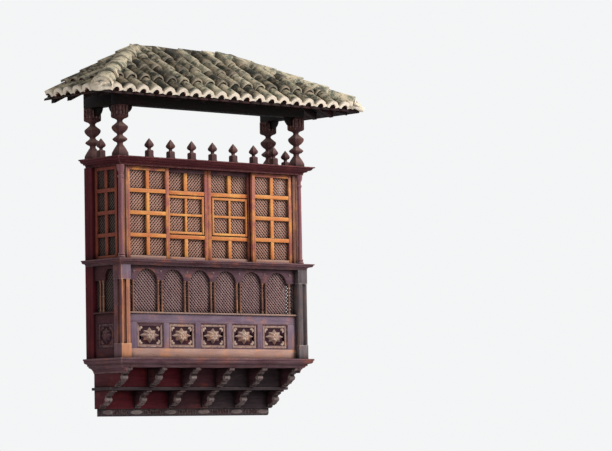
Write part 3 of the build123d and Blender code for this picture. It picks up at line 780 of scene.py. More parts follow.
def paint(obj: Object, finish: Finish, grain: Grain = Grain.UPRIGHT, tone: float = 0.5) -> Object:
    """Gives a whole object one finish, and each of its faces the member's own tone.

    Args:
        obj: The object.
        finish: Its finish.
        grain: Direction of its grain.
        tone: From 0, darker than the finish, to 1, paler.

    Returns:
        The same object.
    """
    obj.data.materials.clear()
    obj.data.materials.append(finish.coat(grain))
    return mark(obj, "tone", float(tone))


def repaint(obj: Object, finish: Material, wanted: Callable[[Vector, Vector], bool]) -> Object:
    """Gives some faces of an object another material.

    Args:
        obj: The object.
        finish: The other material.
        wanted: Says from a face's middle and normal whether it gets it.

    Returns:
        The same object.
    """
    obj.data.materials.append(finish)
    for face in obj.data.polygons:
        if wanted(face.center, face.normal):
            face.material_index = len(obj.data.materials) - 1
    return obj


def finish_piece(parts: Sequence[Object], name: str, node: str) -> None:
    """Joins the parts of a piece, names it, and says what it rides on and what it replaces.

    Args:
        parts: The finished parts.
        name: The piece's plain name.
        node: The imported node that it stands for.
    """
    obj = join(parts)
    obj.name = name
    obj.data.name = name
    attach(obj, BODY)
    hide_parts(node)
    logger.info("%s: %d faces", name, len(obj.data.polygons))


@dataclass
class Assembly:
    """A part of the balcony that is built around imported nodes.

    Attributes:
    """

    frame: dict

    def softened(self, node: str, width: float) -> Object:
        """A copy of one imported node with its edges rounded.

        Args:
            node: The node's name.
            width: Width of the rounding.

        Returns:
            The copy, free of its parent.
        """
        obj = bpy.data.objects.new(node, self.frame["nodes"][node].data.copy())
        bpy.context.collection.objects.link(obj)
        pick(obj)
        if obj.data.has_custom_normals:
            bpy.ops.mesh.customdata_custom_splitnormals_clear()
        with editing(obj):
            bpy.ops.mesh.remove_doubles(threshold=MERGE)
            bpy.ops.mesh.dissolve_limited(angle_limit=math.radians(FLAT_ANGLE))
        return soften(obj, width)


@dataclass
class CorbelledBase(Assembly):
    """Wall beam, two tiers of corbels, their boards and ledge, and the floor.

    Attributes:
        corbel_count: Corbels in a tier.
        corbel_width: Thickness of a corbel.
        roll_proud: How much longer than that the rolls on its nose are.
        row_half: From the middle to the last corbel.
        plank_width: Width of a floor plank.
        gadroon_count: Gadroons between two corbels.
        gadroon_pitch: Distance between them.
        pad_half: Half the width of the pad under a corbel.
        pad_margin: From the end of the beam to the last pad.
        carving_drop: From the head of the beam to the middle of its carving.
        rolls: For each tier, reach and height of a nose's rolls as shares of it, and their radius in
            millimetres.
    """

    corbel_count: int = 6
    corbel_width: float = 0.075
    roll_proud: float = 0.003
    row_half: float = 1.2725
    plank_width: float = 0.092
    gadroon_count: int = 11
    gadroon_pitch: float = 0.0245
    pad_half: float = 0.092
    pad_margin: float = 0.004
    carving_drop: float = 0.037
    rolls: dict[str, tuple] = field(default_factory=lambda: {
        "lower_corbels": ((0.325, 0.09, 11), (0.350, 0.17, 9), (0.450, 0.20, 11), (0.540, 0.26, 12),
                          (0.605, 0.345, 11), (0.655, 0.50, 25), (0.650, 0.675, 10), (0.730, 0.76, 11),
                          (0.805, 0.825, 11), (0.865, 0.915, 9), (0.960, 0.945, 10)),
        "upper_corbels": ((0.640, 0.07, 11), (0.680, 0.145, 10), (0.740, 0.215, 12), (0.770, 0.295, 11),
                          (0.805, 0.355, 10), (0.826, 0.49, 25), (0.830, 0.645, 10), (0.868, 0.715, 11),
                          (0.900, 0.785, 11), (0.930, 0.860, 10), (0.975, 0.915, 11))})

    def build(self) -> None:
        """Makes every piece of the base."""
        for node in self.rolls:
            self.corbels(node)
        self.boards()
        self.beam()
        planks = planked(block(*zip(*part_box("floor_boards"))), 1, self.plank_width, 0.002)
        for k, plank in enumerate(planks):
            paint(soften(plank, 0.002), Finish.OXBLOOD_BOARDS, Grain.ACROSS, (k % 3) / 2)
        finish_piece(planks, "floor_planks", "floor_boards")

    def places(self) -> list[float]:
        """Places of the corbels along the wall."""
        return [self.row_half * (2 * k / (self.corbel_count - 1) - 1) for k in range(self.corbel_count)]

    def corbels(self, node: str) -> None:
        """One tier of corbels, each nose dressed with dark rolls and one large pale one.

        Args:
            node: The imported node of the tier.
        """
        low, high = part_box(node)
        outer = self.row_half + self.corbel_width / 2 - 0.01
        sides = paint(self.softened(node, 0.003), Finish.CORBEL, Grain.OUTWARD)
        pieces = [repaint(sides, Finish.OXBLOOD_CAP.coat(Grain.OUTWARD),
                          lambda middle, normal: middle.x < -outer and normal.x < -0.9)]
        for reach, height, radius in self.rolls[node]:
            place = (0, low[1] * reach, low[2] + (high[2] - low[2]) * height)
            roll = primitive(bpy.ops.mesh.primitive_cylinder_add, vertices=14, radius=radius / 1000,
                             depth=self.corbel_width + self.roll_proud, rotation=(0, QUARTER, 0),
                             location=place)
            paint(soften(roll, 0.0015, 1), Finish.PALE_NOSE, Grain.ACROSS, 1.0 if radius > 20 else 0.2)
            pieces += copies(roll, map(at, self.places()))
            drop(roll)
        finish_piece(pieces, f"{node}_rolled", node)

    def boards(self) -> None:
        """Back boards of the tiers, darker from bay to bay, and the ledge between the tiers."""
        low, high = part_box("upper_back_boards")
        side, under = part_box("wall_beam")[1][0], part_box("floor_boards")[0][2]
        head = block((-side, side), (low[1], high[1]), (high[2], under))
        # The bays darken towards the right, partly as a change of stain and partly as painted shade.
        finishes = [Finish.OXBLOOD_BOARDS] * 2 + [Finish.SHADED_FLANK] + [Finish.LEDGE] * 2
        for node, parts in (("lower_back_boards", []), ("upper_back_boards", [head])):
            board = join([self.softened(node, 0.003), *parts])
            bays = planked(board, 0, 2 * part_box(node)[1][0] / (self.corbel_count - 1), 0.0)
            for k, (bay, finish) in enumerate(zip(bays, finishes)):
                paint(bay, finish, Grain.ACROSS, 0.6 - 0.12 * k)
            finish_piece(bays, f"{node}_planed", node)
        ledge = paint(self.softened("tier_ledge", 0.003), Finish.LEDGE, Grain.ACROSS, 0.6)
        finish_piece([ledge], "tier_ledge_planed", "tier_ledge")

    def beam(self) -> None:
        """The wall beam, carved with a pad under each corbel and gadroons between the pads."""
        low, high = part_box("wall_beam")
        pieces = [paint(self.softened("wall_beam", 0.004), Finish.LEDGE, Grain.ACROSS, 0.7)]
        gap = 2 * self.row_half / (self.corbel_count - 1)
        inset = high[0] - self.pad_half - self.pad_margin
        pads = [max(-inset, min(inset, x)) for x in self.places()]
        gadroons = [x + gap / 2 + (k - (self.gadroon_count - 1) / 2) * self.gadroon_pitch
                    for x in self.places()[:-1] for k in range(self.gadroon_count)]
        for size, finish, row in (((self.pad_half, 0.013, 0.027), Finish.PALE_NOSE, pads),
                                  ((0.0098, 0.012, 0.029), Finish.CORBEL, gadroons)):
            bump = primitive(bpy.ops.mesh.primitive_uv_sphere_add, size, segments=14, ring_count=9, radius=1)
            paint(shade(bump), finish, Grain.ACROSS, 0.8)
            pieces += copies(bump, [at(x, low[1], high[2] - self.carving_drop) for x in row])
            drop(bump)
        finish_piece(pieces, "carved_wall_beam", "wall_beam")


@dataclass
class Courses(Assembly):
    """The three moulded cornices and the wall posts.

    Attributes:
        arris: Rounding of the moulded edges.
        post_width: Width of a wall post.
        reed: Width of a reed down it.
        groove: Depth of the groove beside a reed.
        post_spans: Foot and head of each length of the wall posts above the deck.
    """

    arris: float = 0.003
    post_width: float = 0.145
    reed: float = 0.028
    groove: float = 0.006
    post_spans: tuple[Span, ...] = ((0, 1.063), (1.133, 2.205))

    def build(self) -> None:
        """Makes the fronts, the returns and the posts."""
        for course, finish in (("base_cornice", Finish.CORNICE), ("mid_cornice", Finish.CORNICE),
                               ("cap_rail", Finish.OXBLOOD_CAP)):
            for end, grain in (("front", Grain.ACROSS), ("sides", Grain.OUTWARD)):
                node = f"{course}_{end}"
                obj = paint(self.softened(node, self.arris), finish, grain)
                finish_piece([obj], f"{node}_moulding", node)
        self.wall_posts()

    def wall_posts(self) -> None:
        """Wall posts with shallow reeds down their outer faces."""
        low, (outer, _, _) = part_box("wall_posts")
        inner, depth, reed, groove = outer - self.post_width, -low[1], self.reed, self.groove
        plan = [(outer, 0), (outer, -reed)]
        y = reed
        while y + 2 * groove < depth - reed:
            plan += [(outer - groove, -y - groove), (outer, -y - 2 * groove), (outer, -y - reed)]
            y += reed
        plan += [(outer, -depth), (inner, -depth), (inner, 0)]
        posts = [soften(prism([(x, y, DECK + foot) for x, y in plan], head - foot), 0.002)
                 for foot, head in self.post_spans]
        for post in posts:
            paint(post, Finish.OXBLOOD_BOARDS)
        finish_piece(both_sides(posts), "reeded_wall_posts", "wall_posts")


@dataclass
class LatticeMaker:
    """Diagonal laths in two layers, trimmed to a rectangle.

    Attributes:
        pitch: Distance between laths along the level.
        lath: Width of a lath.
        thickness: Thickness of one layer.
    """

    pitch: float = 0.042
    lath: float = 0.0118
    thickness: float = 0.006

    def panel(self, width: float, height: float, finish: Finish = Finish.LATH) -> Object:
        """One lattice panel in the XZ plane, about the origin.

        Args:
            width: Length along X.
            height: Length along Z.
            finish: Finish of the laths.

        Returns:
            The finished panel.
        """
        length = (height + self.lath) * math.sqrt(2) + 2 * self.lath
        count = math.ceil((width + height) / self.pitch) + 1
        half = self.lath / 2
        layers = []
        for side in (-1, 1):
            lath = block((-half, half), sorted((0, side * self.thickness)), (-length / 2, length / 2))
            lath.location.x, lath.rotation_euler.y = -(count - 1) * self.pitch / 2, side * math.pi / 4
            layers.append(apply_modifier(settle(lath), "ARRAY", count=count, use_relative_offset=False,
                                         use_constant_offset=True,
                                         constant_offset_displace=(self.pitch, 0, 0)))
        edges = [((way * width / 2, 0, 0), (way, 0, 0)) for way in (1, -1)]
        edges += [((0, 0, way * height / 2), (0, 0, way)) for way in (1, -1)]
        return paint(cut(join(layers), *edges), finish)


@dataclass
class CarvedPanel:
    """A flower of eight petals on the boss of a panel and a leaf in each corner of its ground.

    Attributes:
        petal_length: Length of a petal.
        relief: How far the carving stands out.
        boss_depth: From the frame's face out to the face of the boss.
        ground_depth: From the frame's face in to the ground.
        margin: From the edge of the ground to the root of a corner leaf.
        full_reach: Half width of a ground on which the flower isn't narrowed.
    """

    petal_length: float = 0.042
    relief: float = 0.0075
    boss_depth: float = 0.006
    ground_depth: float = 0.024
    margin: float = 0.008
    full_reach: float = 0.155

    def leaf(self, length: float, width: float) -> Object:
        """One carved petal or leaf along +Z with a vein cut down its middle.

        Args:
            length: Its length.
            width: Its greatest width.

        Returns:
            The leaf, its root at the origin, standing out towards -Y.
        """
        obj = primitive(bpy.ops.mesh.primitive_uv_sphere_add, (width, self.relief * 2, length), segments=12,
                        ring_count=8, radius=0.5, location=(0, 0, length / 2))
        for vertex in obj.data.vertices:
            vertex.co.x *= 1.25 - 1.2 * abs(vertex.co.z / length - 0.62)
            if vertex.co.y < 0:
                vertex.co.y += self.relief * 0.45 * max(0.0, 1 - abs(vertex.co.x) / (width * 0.16))
        return shade(obj)

    def flower(self, reach: Span, finish: Finish) -> Object:
        """The whole carving about the middle of the panel, with the frame's face at Y = 0.

        Args:
            reach: Half width and half height of the ground.
            finish: Its finish.

        Returns:
            The finished carving.
        """
        petal = self.leaf(self.petal_length, 0.026)
        spray = self.leaf(self.petal_length * 1.15, 0.030)
        narrowed = Matrix.Diagonal((min(1.0, reach[0] / self.full_reach), 1, 1, 1))
        rise = at(y=-self.boss_depth) @ narrowed
        pieces = copies(petal, [rise @ turn(math.tau * k / 8, "Y") @ at(z=0.010) for k in range(8)])
        for x, z in ((-1, -1), (-1, 1), (1, -1), (1, 1)):
            corner = at(x * (reach[0] - self.margin), self.ground_depth, z * (reach[1] - self.margin))
            pieces += copies(spray, [corner @ turn(math.atan2(-x, -z) + lean, "Y") for lean in (-0.55, 0.55)])
        boss = turning([(0.017, 0), (0.017, 0.005), (0.012, 0.010), (0.005, 0.013)])
        pieces.append(moved(boss, at(y=0.002 - self.boss_depth) @ turn(QUARTER, "X")))
        drop(petal, spray)
        return paint(join(pieces), finish, tone=0.85)


@dataclass
class ParapetStorey(Assembly):
    """Corner posts, panelled frames with their carvings, shelves, arcade and lattice.

    Attributes:
        half_width: Half the width of the box.
        depth: Depth of the box.
        post: Side of a corner post.
        height: From the deck to the mid cornice.
        foot_block: Height of the plain foot of a corner post.
        head_block: Height of its plain head.
        arris: Rounding of posts and frames.
        panel_count: Panels across the front.
        panel_pitch: Distance between them.
        panel_width: Width of their openings.
        side_panel_width: Width of the openings of the flanks.
        panel_height: Height of all the openings.
        panel_foot: Foot of the openings above the deck.
        border: Width of the border of a carved panel.
        frame_thickness: Thickness of the frames.
        bay_count: Arches across the front.
        bay_pitch: Distance between them.
        column_radius: Radius of a slender column.
        column_spread: Half the distance between twin columns.
        column_inset: From a frame's face to the middle of a column.
        flank_middle: From the wall to the middle of a flank's arches.
        boss_drop: From the head of the arcade to the bosses in its spandrels.
    """

    half_width: float = 1.42
    depth: float = 0.66
    post: float = 0.145
    height: float = 1.063
    foot_block: float = 0.165
    head_block: float = 0.170
    arris: float = 0.004
    panel_count: int = 5
    panel_pitch: float = 0.475
    panel_width: float = 0.400
    side_panel_width: float = 0.300
    panel_height: float = 0.298
    panel_foot: float = 0.112
    border: float = 0.045
    frame_thickness: float = 0.045
    bay_count: int = 6
    bay_pitch: float = 0.396
    column_radius: float = 0.0125
    column_spread: float = 0.0272
    column_inset: float = 0.017
    flank_middle: float = 0.262
    boss_drop: float = 0.065

    def build(self) -> None:
        """Makes every piece of the parapet storey."""
        self.corner_posts()
        self.frames()
        self.carvings()
        self.arcade()
        self.colonnettes()
        self.lattices()

    def row(self, count: int, pitch: float) -> list[float]:
        """Evenly spaced places about the middle."""
        return [(k - (count - 1) / 2) * pitch for k in range(count)]

    def corner_posts(self) -> None:
        """Corner posts with a quirked roll on the outer arris between plain blocks."""
        outer, front, side = self.half_width, -self.depth, self.post
        roll, shallow = 0.021, 0.004
        near, far = 0.052, 0.078
        arc = [math.radians(-25 + 14 * k) for k in range(11)]
        plan = [(outer - side, front + side), (outer - shallow, front + side), (outer - shallow, front + far),
                (outer - 0.022, front + far), (outer - 0.026, front + near),
                *((outer - roll + roll * math.cos(a), front + roll - roll * math.sin(a)) for a in arc),
                (outer - near, front + 0.026), (outer - far, front + 0.022), (outer - far, front + shallow),
                (outer - side + 0.016, front + shallow), (outer - side, front + 0.020)]
        low, high = DECK + self.foot_block, DECK + self.height - self.head_block
        blocks = [prism([(x, y, low - 0.01) for x, y in plan], high - low + 0.02)]
        for foot, head in ((DECK, low), (high, DECK + self.height)):
            blocks.append(block((outer - side, outer), (front, front + side), (foot, head)))
        posts = []
        # The left post's left-facing faces take the darker cornice finish: painted shade.
        for obj, finish, tone in zip(blocks, (Finish.GOLDEN_POST, Finish.GOLDEN_POST, Finish.MAUVE_FRAME),
                                     (0.5, 1.0, 0.6)):
            right, left = both_sides([soften(obj, self.arris)])
            paint(left, finish, tone=tone)
            posts += [paint(right, Finish.GREY_POST, tone=tone),
                      repaint(left, Finish.CORNICE.coat(), lambda middle, normal: normal.x < -0.6)]
        finish_piece(posts, "quirked_corner_posts", "lower_corner_posts")

    def frame_members(self, x: Span, y: Span, z: Span, middles: Sequence[float], width: float,
                      finishes: Sequence[Finish]) -> list[Object]:
        """Rails, stiles and mouldings of one panelled frame that runs along X.

        Args:
            x: Ends of the frame.
            y: Its front and back faces.
            z: Its foot and head.
            middles: Middle of each opening.
            width: Width of the openings.
            finishes: Finishes of the bottom rail, of the other members and of the mouldings.

        Returns:
            The finished members.
        """
        sill, upper, moulding = finishes
        low, high = DECK + self.panel_foot, DECK + self.panel_foot + self.panel_height
        members = [paint(soften(block(x, y, (z[0], low)), self.arris), sill, Grain.ACROSS),
                   paint(soften(block(x, y, (high, z[1])), self.arris), upper, Grain.ACROSS, 0.45)]
        edges = [x[0], *(middle + way * width / 2 for middle in middles for way in (-1, 1)), x[1]]
        for left, right in zip(edges[::2], edges[1::2]):
            stile = soften(block((left, right), y, (low, high)), self.arris)
            members.append(paint(stile, upper, tone=0.5 + 0.3 * math.sin(7 * left)))
        return members + [self.opening_moulding((middle, y[0] + 0.001, (low + high) / 2), width, moulding)
                          for middle in middles]

    def opening_moulding(self, place: Point, width: float, finish: Finish) -> Object:
        """A mitred sloping moulding round one opening, seen from -Y.

        Args:
            place: Middle of the opening, on the plane of the moulding's outer edge.
            width: Width of the opening.
            finish: Its finish.

        Returns:
            The finished moulding.
        """
        obj = primitive(bpy.ops.mesh.primitive_plane_add, (width, self.panel_height, 1), size=1,
                        location=place, rotation=(QUARTER, 0, 0))
        with editing(obj):
            for thickness, depth in ((0.0091, 0), (0.0117, -0.018), (0.0052, 0)):
                bpy.ops.mesh.inset(thickness=thickness, depth=depth)
            bpy.ops.mesh.delete(type="FACE")
        apply_modifier(obj, "SOLIDIFY", thickness=0.006, offset=-1)
        return paint(soften(obj, 0.0015), finish, Grain.ACROSS, 0.2)

    def frames(self) -> None:
        """Frames of the front and the flanks, and the shelves on them."""
        members = self.frame_members(
            *zip(*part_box("parapet_frame_front")), self.row(self.panel_count, self.panel_pitch),
            self.panel_width, (Finish.BLEACHED_SILL, Finish.MAUVE_FRAME, Finish.PANEL_BORDER))
        finish_piece(members, "panelled_frame_front", "parapet_frame_front")
        low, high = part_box("parapet_frames_side")
        # The flank frames and their mouldings take dark finishes as painted shade.
        flank = self.frame_members(
            (low[1], high[1]), (-high[0], self.frame_thickness - high[0]), (low[2], high[2]),
            [(low[1] + high[1]) / 2], self.side_panel_width,
            (Finish.SHADED_FLANK, Finish.SHADED_FLANK, Finish.CARVED_GROUND))
        flank = both_sides([moved(obj, SIDEWAYS) for obj in flank])
        finish_piece(flank, "panelled_frames_side", "parapet_frames_side")
        for node, grain, finish in (("parapet_shelf_front", Grain.ACROSS, Finish.CARVED_RELIEF),
                                    ("parapet_shelves_side", Grain.OUTWARD, Finish.SHADED_FLANK)):
            obj = paint(self.softened(node, self.arris), finish, grain)
            finish_piece([obj], f"{node}_nosing", node)

    def carvings(self) -> None:
        """Carved panels: border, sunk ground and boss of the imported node, with leaves and a flower."""
        obj = self.softened("carved_panels", 0.0025)
        obj.data.materials.clear()
        for finish in (Finish.PANEL_BORDER, Finish.CARVED_GROUND, Finish.CARVED_RELIEF, Finish.SHADED_FLANK,
                       Finish.ARCADE):
            obj.data.materials.append(finish.coat(Grain.ACROSS))
        border, ground, boss, flank_border, flank_boss = range(5)
        level = DECK + self.panel_foot + self.panel_height / 2
        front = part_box("parapet_frame_front")[0][1]
        low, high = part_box("parapet_frames_side")
        middle = (low[1] + high[1]) / 2
        wide, narrow, tall = (size / 2 - self.border
                              for size in (self.panel_width, self.side_panel_width, self.panel_height))
        edge, sunk = 0.002, -0.0225
        # The sunk ground is painted near black as shade, and on the flanks the border and boss take darker
        # finishes as painted shade.
        for face in obj.data.polygons:
            x, y, z = face.center
            flank = abs(x) > self.half_width - self.post
            reach, along, depth = wide, x - round(x / self.panel_pitch) * self.panel_pitch, front - y
            if flank:
                reach, along, depth = narrow, y - middle, abs(x) - high[0]
            if abs(along) > reach - edge or abs(z - level) > tall - edge:
                face.material_index = flank_border if flank else border
            else:
                face.material_index = ground if depth < sunk else flank_boss if flank else boss
        flower = CarvedPanel().flower((wide, tall), Finish.CARVED_RELIEF)
        places = [at(x, front, level) for x in self.row(self.panel_count, self.panel_pitch)]
        pieces = [obj, *copies(flower, places)]
        drop(flower)
        flower = CarvedPanel().flower((narrow, tall), Finish.SHADED_FLANK)
        pieces += both_sides([moved(flower, SIDEWAYS @ at(middle, -high[0], level))])
        finish_piece(pieces, "carved_flower_panels", "carved_panels")

    def arcade(self) -> None:
        """Arched boards with a roll round each arch and a boss in each spandrel of the front."""
        front, sides = "arcade_board_front", "arcade_boards_side"
        low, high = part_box(front)
        boss = turning([(0.017, 0), (0.017, 0.003), (0.012, 0.004), (0.012, 0.007), (0.006, 0.010)])
        paint(moved(boss, turn(QUARTER, "X")), Finish.ARCADE, Grain.ACROSS, 0.9)
        bedded = 0.0005
        places = [at(x, low[1] + bedded, high[2] - self.boss_drop)
                  for x in self.row(self.bay_count + 1, self.bay_pitch)]
        parts = [paint(self.softened(front, 0.005), Finish.ARCADE, Grain.ACROSS), *copies(boss, places)]
        drop(boss)
        finish_piece(parts, f"{front}_carved", front)
        board = paint(self.softened(sides, 0.005), Finish.SHADED_FLANK, Grain.OUTWARD)
        finish_piece([board], f"{sides}_carved", sides)

    def colonnettes(self) -> None:
        """Slender turned columns with rings, base and capital."""
        low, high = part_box("colonnettes")
        tall, radius, spread = high[2] - low[2], self.column_radius, self.column_spread
        shares = ((1.45, 0), (1.45, 0.010), (1.1, 0.014), (1.3, 0.022), (0.85, 0.032), (1.16, tall * 0.22),
                  (1.0, tall * 0.49), (1.3, tall * 0.495), (1.3, tall * 0.515), (0.9, tall * 0.52),
                  (0.8, tall - 0.045), (1.15, tall - 0.040), (0.85, tall - 0.033), (1.4, tall - 0.014),
                  (1.45, tall - 0.012), (1.45, tall))
        column = paint(turning([(radius * share, level) for share, level in shares]), Finish.COLUMN)
        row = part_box("parapet_frame_front")[0][1] + self.column_inset
        first, *inner, last = self.row(self.bay_count + 1, self.bay_pitch)
        places = [(first, row), *((x + way * spread, row) for x in inner for way in (-1, 1)), (last, row)]
        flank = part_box("parapet_frames_side")[1][0] - self.column_inset
        places += [(side * flank, way * spread - self.flank_middle) for side in (-1, 1) for way in (-1, 1)]
        columns = copies(column, [at(x, y, low[2]) for x, y in places])
        drop(column)
        finish_piece(columns, "turned_colonnettes", "colonnettes")

    def lattices(self) -> None:
        """Lattice behind the arcade, in front and on the flanks."""
        maker = LatticeMaker(pitch=0.0425, lath=0.0125)
        low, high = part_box("arcade_lattice_front")
        panel = maker.panel(high[0] - low[0], high[2] - low[2], Finish.DUSKY_LATH)
        moved(panel, at(0, (low[1] + high[1]) / 2, (low[2] + high[2]) / 2))
        finish_piece([panel], "fine_lattice_arcade_front", "arcade_lattice_front")
        low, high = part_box("arcade_lattices_side")
        panel = maker.panel(high[1] - low[1], high[2] - low[2], Finish.SHADED_FLANK_LATH)
        moved(panel, at(high[0] - maker.thickness, (low[1] + high[1]) / 2, (low[2] + high[2]) / 2) @ SIDEWAYS)
        finish_piece(both_sides([panel]), "fine_lattices_arcade_side", "arcade_lattices_side")


@dataclass
class LeafMaker:
    """Joined lattice leaves: stiles, rails and a mullion, each a member of its own.

    Attributes:
        finishes: Finishes of the stiles, of the bars between them, of the top and of the bottom rail.
        thickness: Thickness of the members.
        stile: Width of a stile.
        rail: Height of a rail.
        mullion: Width of the middle upright.
        rows: Rows of openings.
        gap: First and last rail that a hatch takes the place between, if any.
        seed: Seed of the members' tones.
    """

    finishes: Sequence[Finish] = (Finish.ROSE_LEAF, Finish.HONEY_LEAF, Finish.ROSE_LEAF, Finish.BLEACHED_SILL)
    thickness: float = 0.040
    stile: float = 0.050
    rail: float = 0.045
    mullion: float = 0.048
    rows: int = 4
    gap: tuple[int, int] = (0, 0)
    seed: int = 11

    def leaf(self, width: float, height: float) -> list[Object]:
        """One leaf in the XZ plane, about the origin.

        Args:
            width: Length along X.
            height: Length along Z.

        Returns:
            The finished members.
        """
        half, tall, deep, shy = width / 2, height / 2, self.thickness / 2, self.thickness / 2 - 0.003
        cell = (height - (self.rows + 1) * self.rail) / self.rows
        feet = [row * (cell + self.rail) - tall for row in range(self.rows + 1)]
        reach, bar = half - self.stile, self.mullion / 2
        stiles, bars, top, bottom = self.finishes
        inner = [bars] * (self.rows - 1)
        members = [((x, x + self.stile), (-deep, deep), (-tall, tall), stiles, Grain.UPRIGHT)
                   for x in (-half, reach)]
        members += [((-reach, reach), (-shy, shy), (foot, foot + self.rail), finish, Grain.ACROSS)
                    for row, (foot, finish) in enumerate(zip(feet, (bottom, *inner, top)))
                    if not self.gap[0] < row < self.gap[1]]
        members += [((-bar, bar), (-shy, shy), (foot + self.rail, foot + self.rail + cell), bars,
                     Grain.UPRIGHT)
                    for row, foot in enumerate(feet[:-1]) if not self.gap[0] <= row < self.gap[1]]
        dice = random.Random(self.seed)
        return [paint(soften(block(x, y, z), 0.006), finish, grain, dice.random())
                for x, y, z, finish, grain in members]


@dataclass
class LatticeStorey(Assembly):
    """Corner posts with engaged shafts, and the lattice leaves between them.

    Attributes:
        half_width: Half the width over the storey.
        depth: Its depth.
        foot: Foot of the storey.
        height: Height of the storey.
        shaft: From the outer faces to the middle of an engaged shaft.
        rail: Height of the leaves' rails.
        side_thickness: Thickness of the leaves of the flanks.
    """

    half_width: float = 1.392
    depth: float = 0.632
    foot: float = DECK + 1.133
    height: float = 1.072
    shaft: float = 0.032
    rail: float = 0.045
    side_thickness: float = 0.032

    def build(self) -> None:
        """Makes the posts, the leaves, the hatches and the lattices."""
        self.corner_posts()
        self.front_leaves()
        self.hatches()
        self.side_leaves()

    def corner_posts(self) -> None:
        """Posts with a slender engaged shaft on the outer arris."""
        outer, front, inset, head = self.half_width, -self.depth, self.shaft, self.height
        plan = [(0.130, 0.080), (0.130, inset), (0.104, inset - 0.010), (0.092, inset + 0.006),
                (0.074, inset - 0.008), (inset, inset), (inset, 0.080)]
        post = soften(prism([(outer - x, front + y, self.foot) for x, y in plan], head), 0.002)
        profile = [(0.046, 0), (0.046, 0.022), (0.036, 0.034), (0.041, 0.048), (0.030, 0.070),
                   (0.029, head * 0.5), (0.028, head - 0.150), (0.036, head - 0.144),
                   (0.036, head - 0.122), (0.028, head - 0.116),
                   (0.028, head - 0.084), (0.040, head - 0.060), (0.046, head - 0.020), (0.046, head)]
        shaft = moved(turning(profile, 18), at(outer - inset, front + inset, self.foot))
        posts = both_sides([paint(post, Finish.COLUMN, tone=0.7), paint(shaft, Finish.SHAFT, tone=0.7)])
        finish_piece(posts, "shafted_corner_posts", "upper_corner_posts")

    def place_pair(self, members: Sequence[Object], place: Span, name: str, slot: str, node: str) -> None:
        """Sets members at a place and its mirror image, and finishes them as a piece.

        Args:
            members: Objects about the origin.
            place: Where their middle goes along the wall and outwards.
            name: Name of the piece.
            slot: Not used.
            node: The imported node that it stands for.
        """
        centre = at(*place, self.foot + self.height / 2)
        finish_piece(both_sides([moved(obj, centre) for obj in members]), name, node)

    def right_solid(self, node: str) -> tuple[Span, float]:
        """Where the right-hand solid of a mirrored node stands.

        Args:
            node: The node's name.

        Returns:
            Its middle along the wall and outwards, and its width.
        """
        xs = [v.co.x for v in self.frame["nodes"][node].data.vertices if v.co.x > 0]
        low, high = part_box(node)
        return ((min(xs) + max(xs)) / 2, (low[1] + high[1]) / 2), max(xs) - min(xs)

    def front_leaves(self) -> None:
        """The fixed leaves beside the posts, and the sliding ones, each open in the middle for its hatch."""
        # The sliding leaves' top rails take the darker cornice finish: painted shadow under the cap rail.
        sliding = LeafMaker((Finish.ROSE_LEAF, Finish.HONEY_LEAF, Finish.CORNICE, Finish.BLEACHED_SILL),
                            gap=(1, 3), seed=4)
        cell = (self.height - 5 * self.rail) / 4
        lights = [(cell + 0.036, way * (self.height / 2 - self.rail - cell / 2)) for way in (-1, 1)]
        for which, maker, openings in (("outer", LeafMaker(), [(self.height - self.rail, 0)]),
                                       ("middle", sliding, lights)):
            place, width = self.right_solid(f"{which}_leaf_frames")
            members = maker.leaf(width, self.height)
            self.place_pair(members, place, f"{which}_leaves", "leaf_timber", f"{which}_leaf_frames")
            place, width = self.right_solid(f"{which}_leaf_lattices")
            panels = [moved(LatticeMaker().panel(width, height), at(z=level)) for height, level in openings]
            self.place_pair(panels, place, f"{which}_leaf_fine_lattices", "lath_timber",
                            f"{which}_leaf_lattices")

    def hatches(self) -> None:
        """The small hatches in the middle leaves, each in a dark rebate."""
        place, width = self.right_solid("hatch_frames")
        low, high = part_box("hatch_frames")
        tall, lap, wide = high[2] - low[2], 0.013, 0.014
        maker = LeafMaker([Finish.HONEY_LEAF] * 4, thickness=0.030, stile=0.028, rail=0.028, mullion=0.032,
                          rows=2)
        half_x, half_z, rebate = width / 2 + lap, tall / 2 + lap, (0.017, 0.023)
        stops = []
        for side in (-1, 1):
            x, z = (sorted((side * half, side * (half - wide))) for half in (half_x, half_z))
            stops += [block(x, rebate, (-half_z, half_z)), block((wide - half_x, half_x - wide), rebate, z)]
        stops = [paint(stop, Finish.ROSE_LEAF, Grain.ACROSS, 0.0) for stop in stops]
        members = maker.leaf(width, tall) + stops
        self.place_pair(members, place, "leaf_hatches", "leaf_timber", "hatch_frames")
        place, width = self.right_solid("hatch_lattices")
        panel = LatticeMaker().panel(width, tall - maker.rail)
        self.place_pair([panel], place, "hatch_fine_lattices", "lath_timber", "hatch_lattices")

    def side_leaves(self) -> None:
        """The narrow fixed leaves of the flanks."""
        low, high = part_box("side_leaf_frames")
        maker = LeafMaker([Finish.SHADED_FLANK_LEAF] * 4, thickness=self.side_thickness, stile=0.040)
        members = [moved(obj, SIDEWAYS) for obj in maker.leaf(high[1] - low[1], self.height)]
        place = (high[0] - self.side_thickness / 2, (low[1] + high[1]) / 2)
        self.place_pair(members, place, "side_leaves", "leaf_timber", "side_leaf_frames")
        low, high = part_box("side_leaf_lattices")
        maker = LatticeMaker()
        panel = moved(maker.panel(high[1] - low[1], self.height - self.rail, Finish.SHADED_FLANK_LATH), SIDEWAYS)
        place = (high[0] - maker.thickness, (low[1] + high[1]) / 2)
        self.place_pair([panel], place, "side_leaf_fine_lattices", "lath_timber", "side_leaf_lattices")


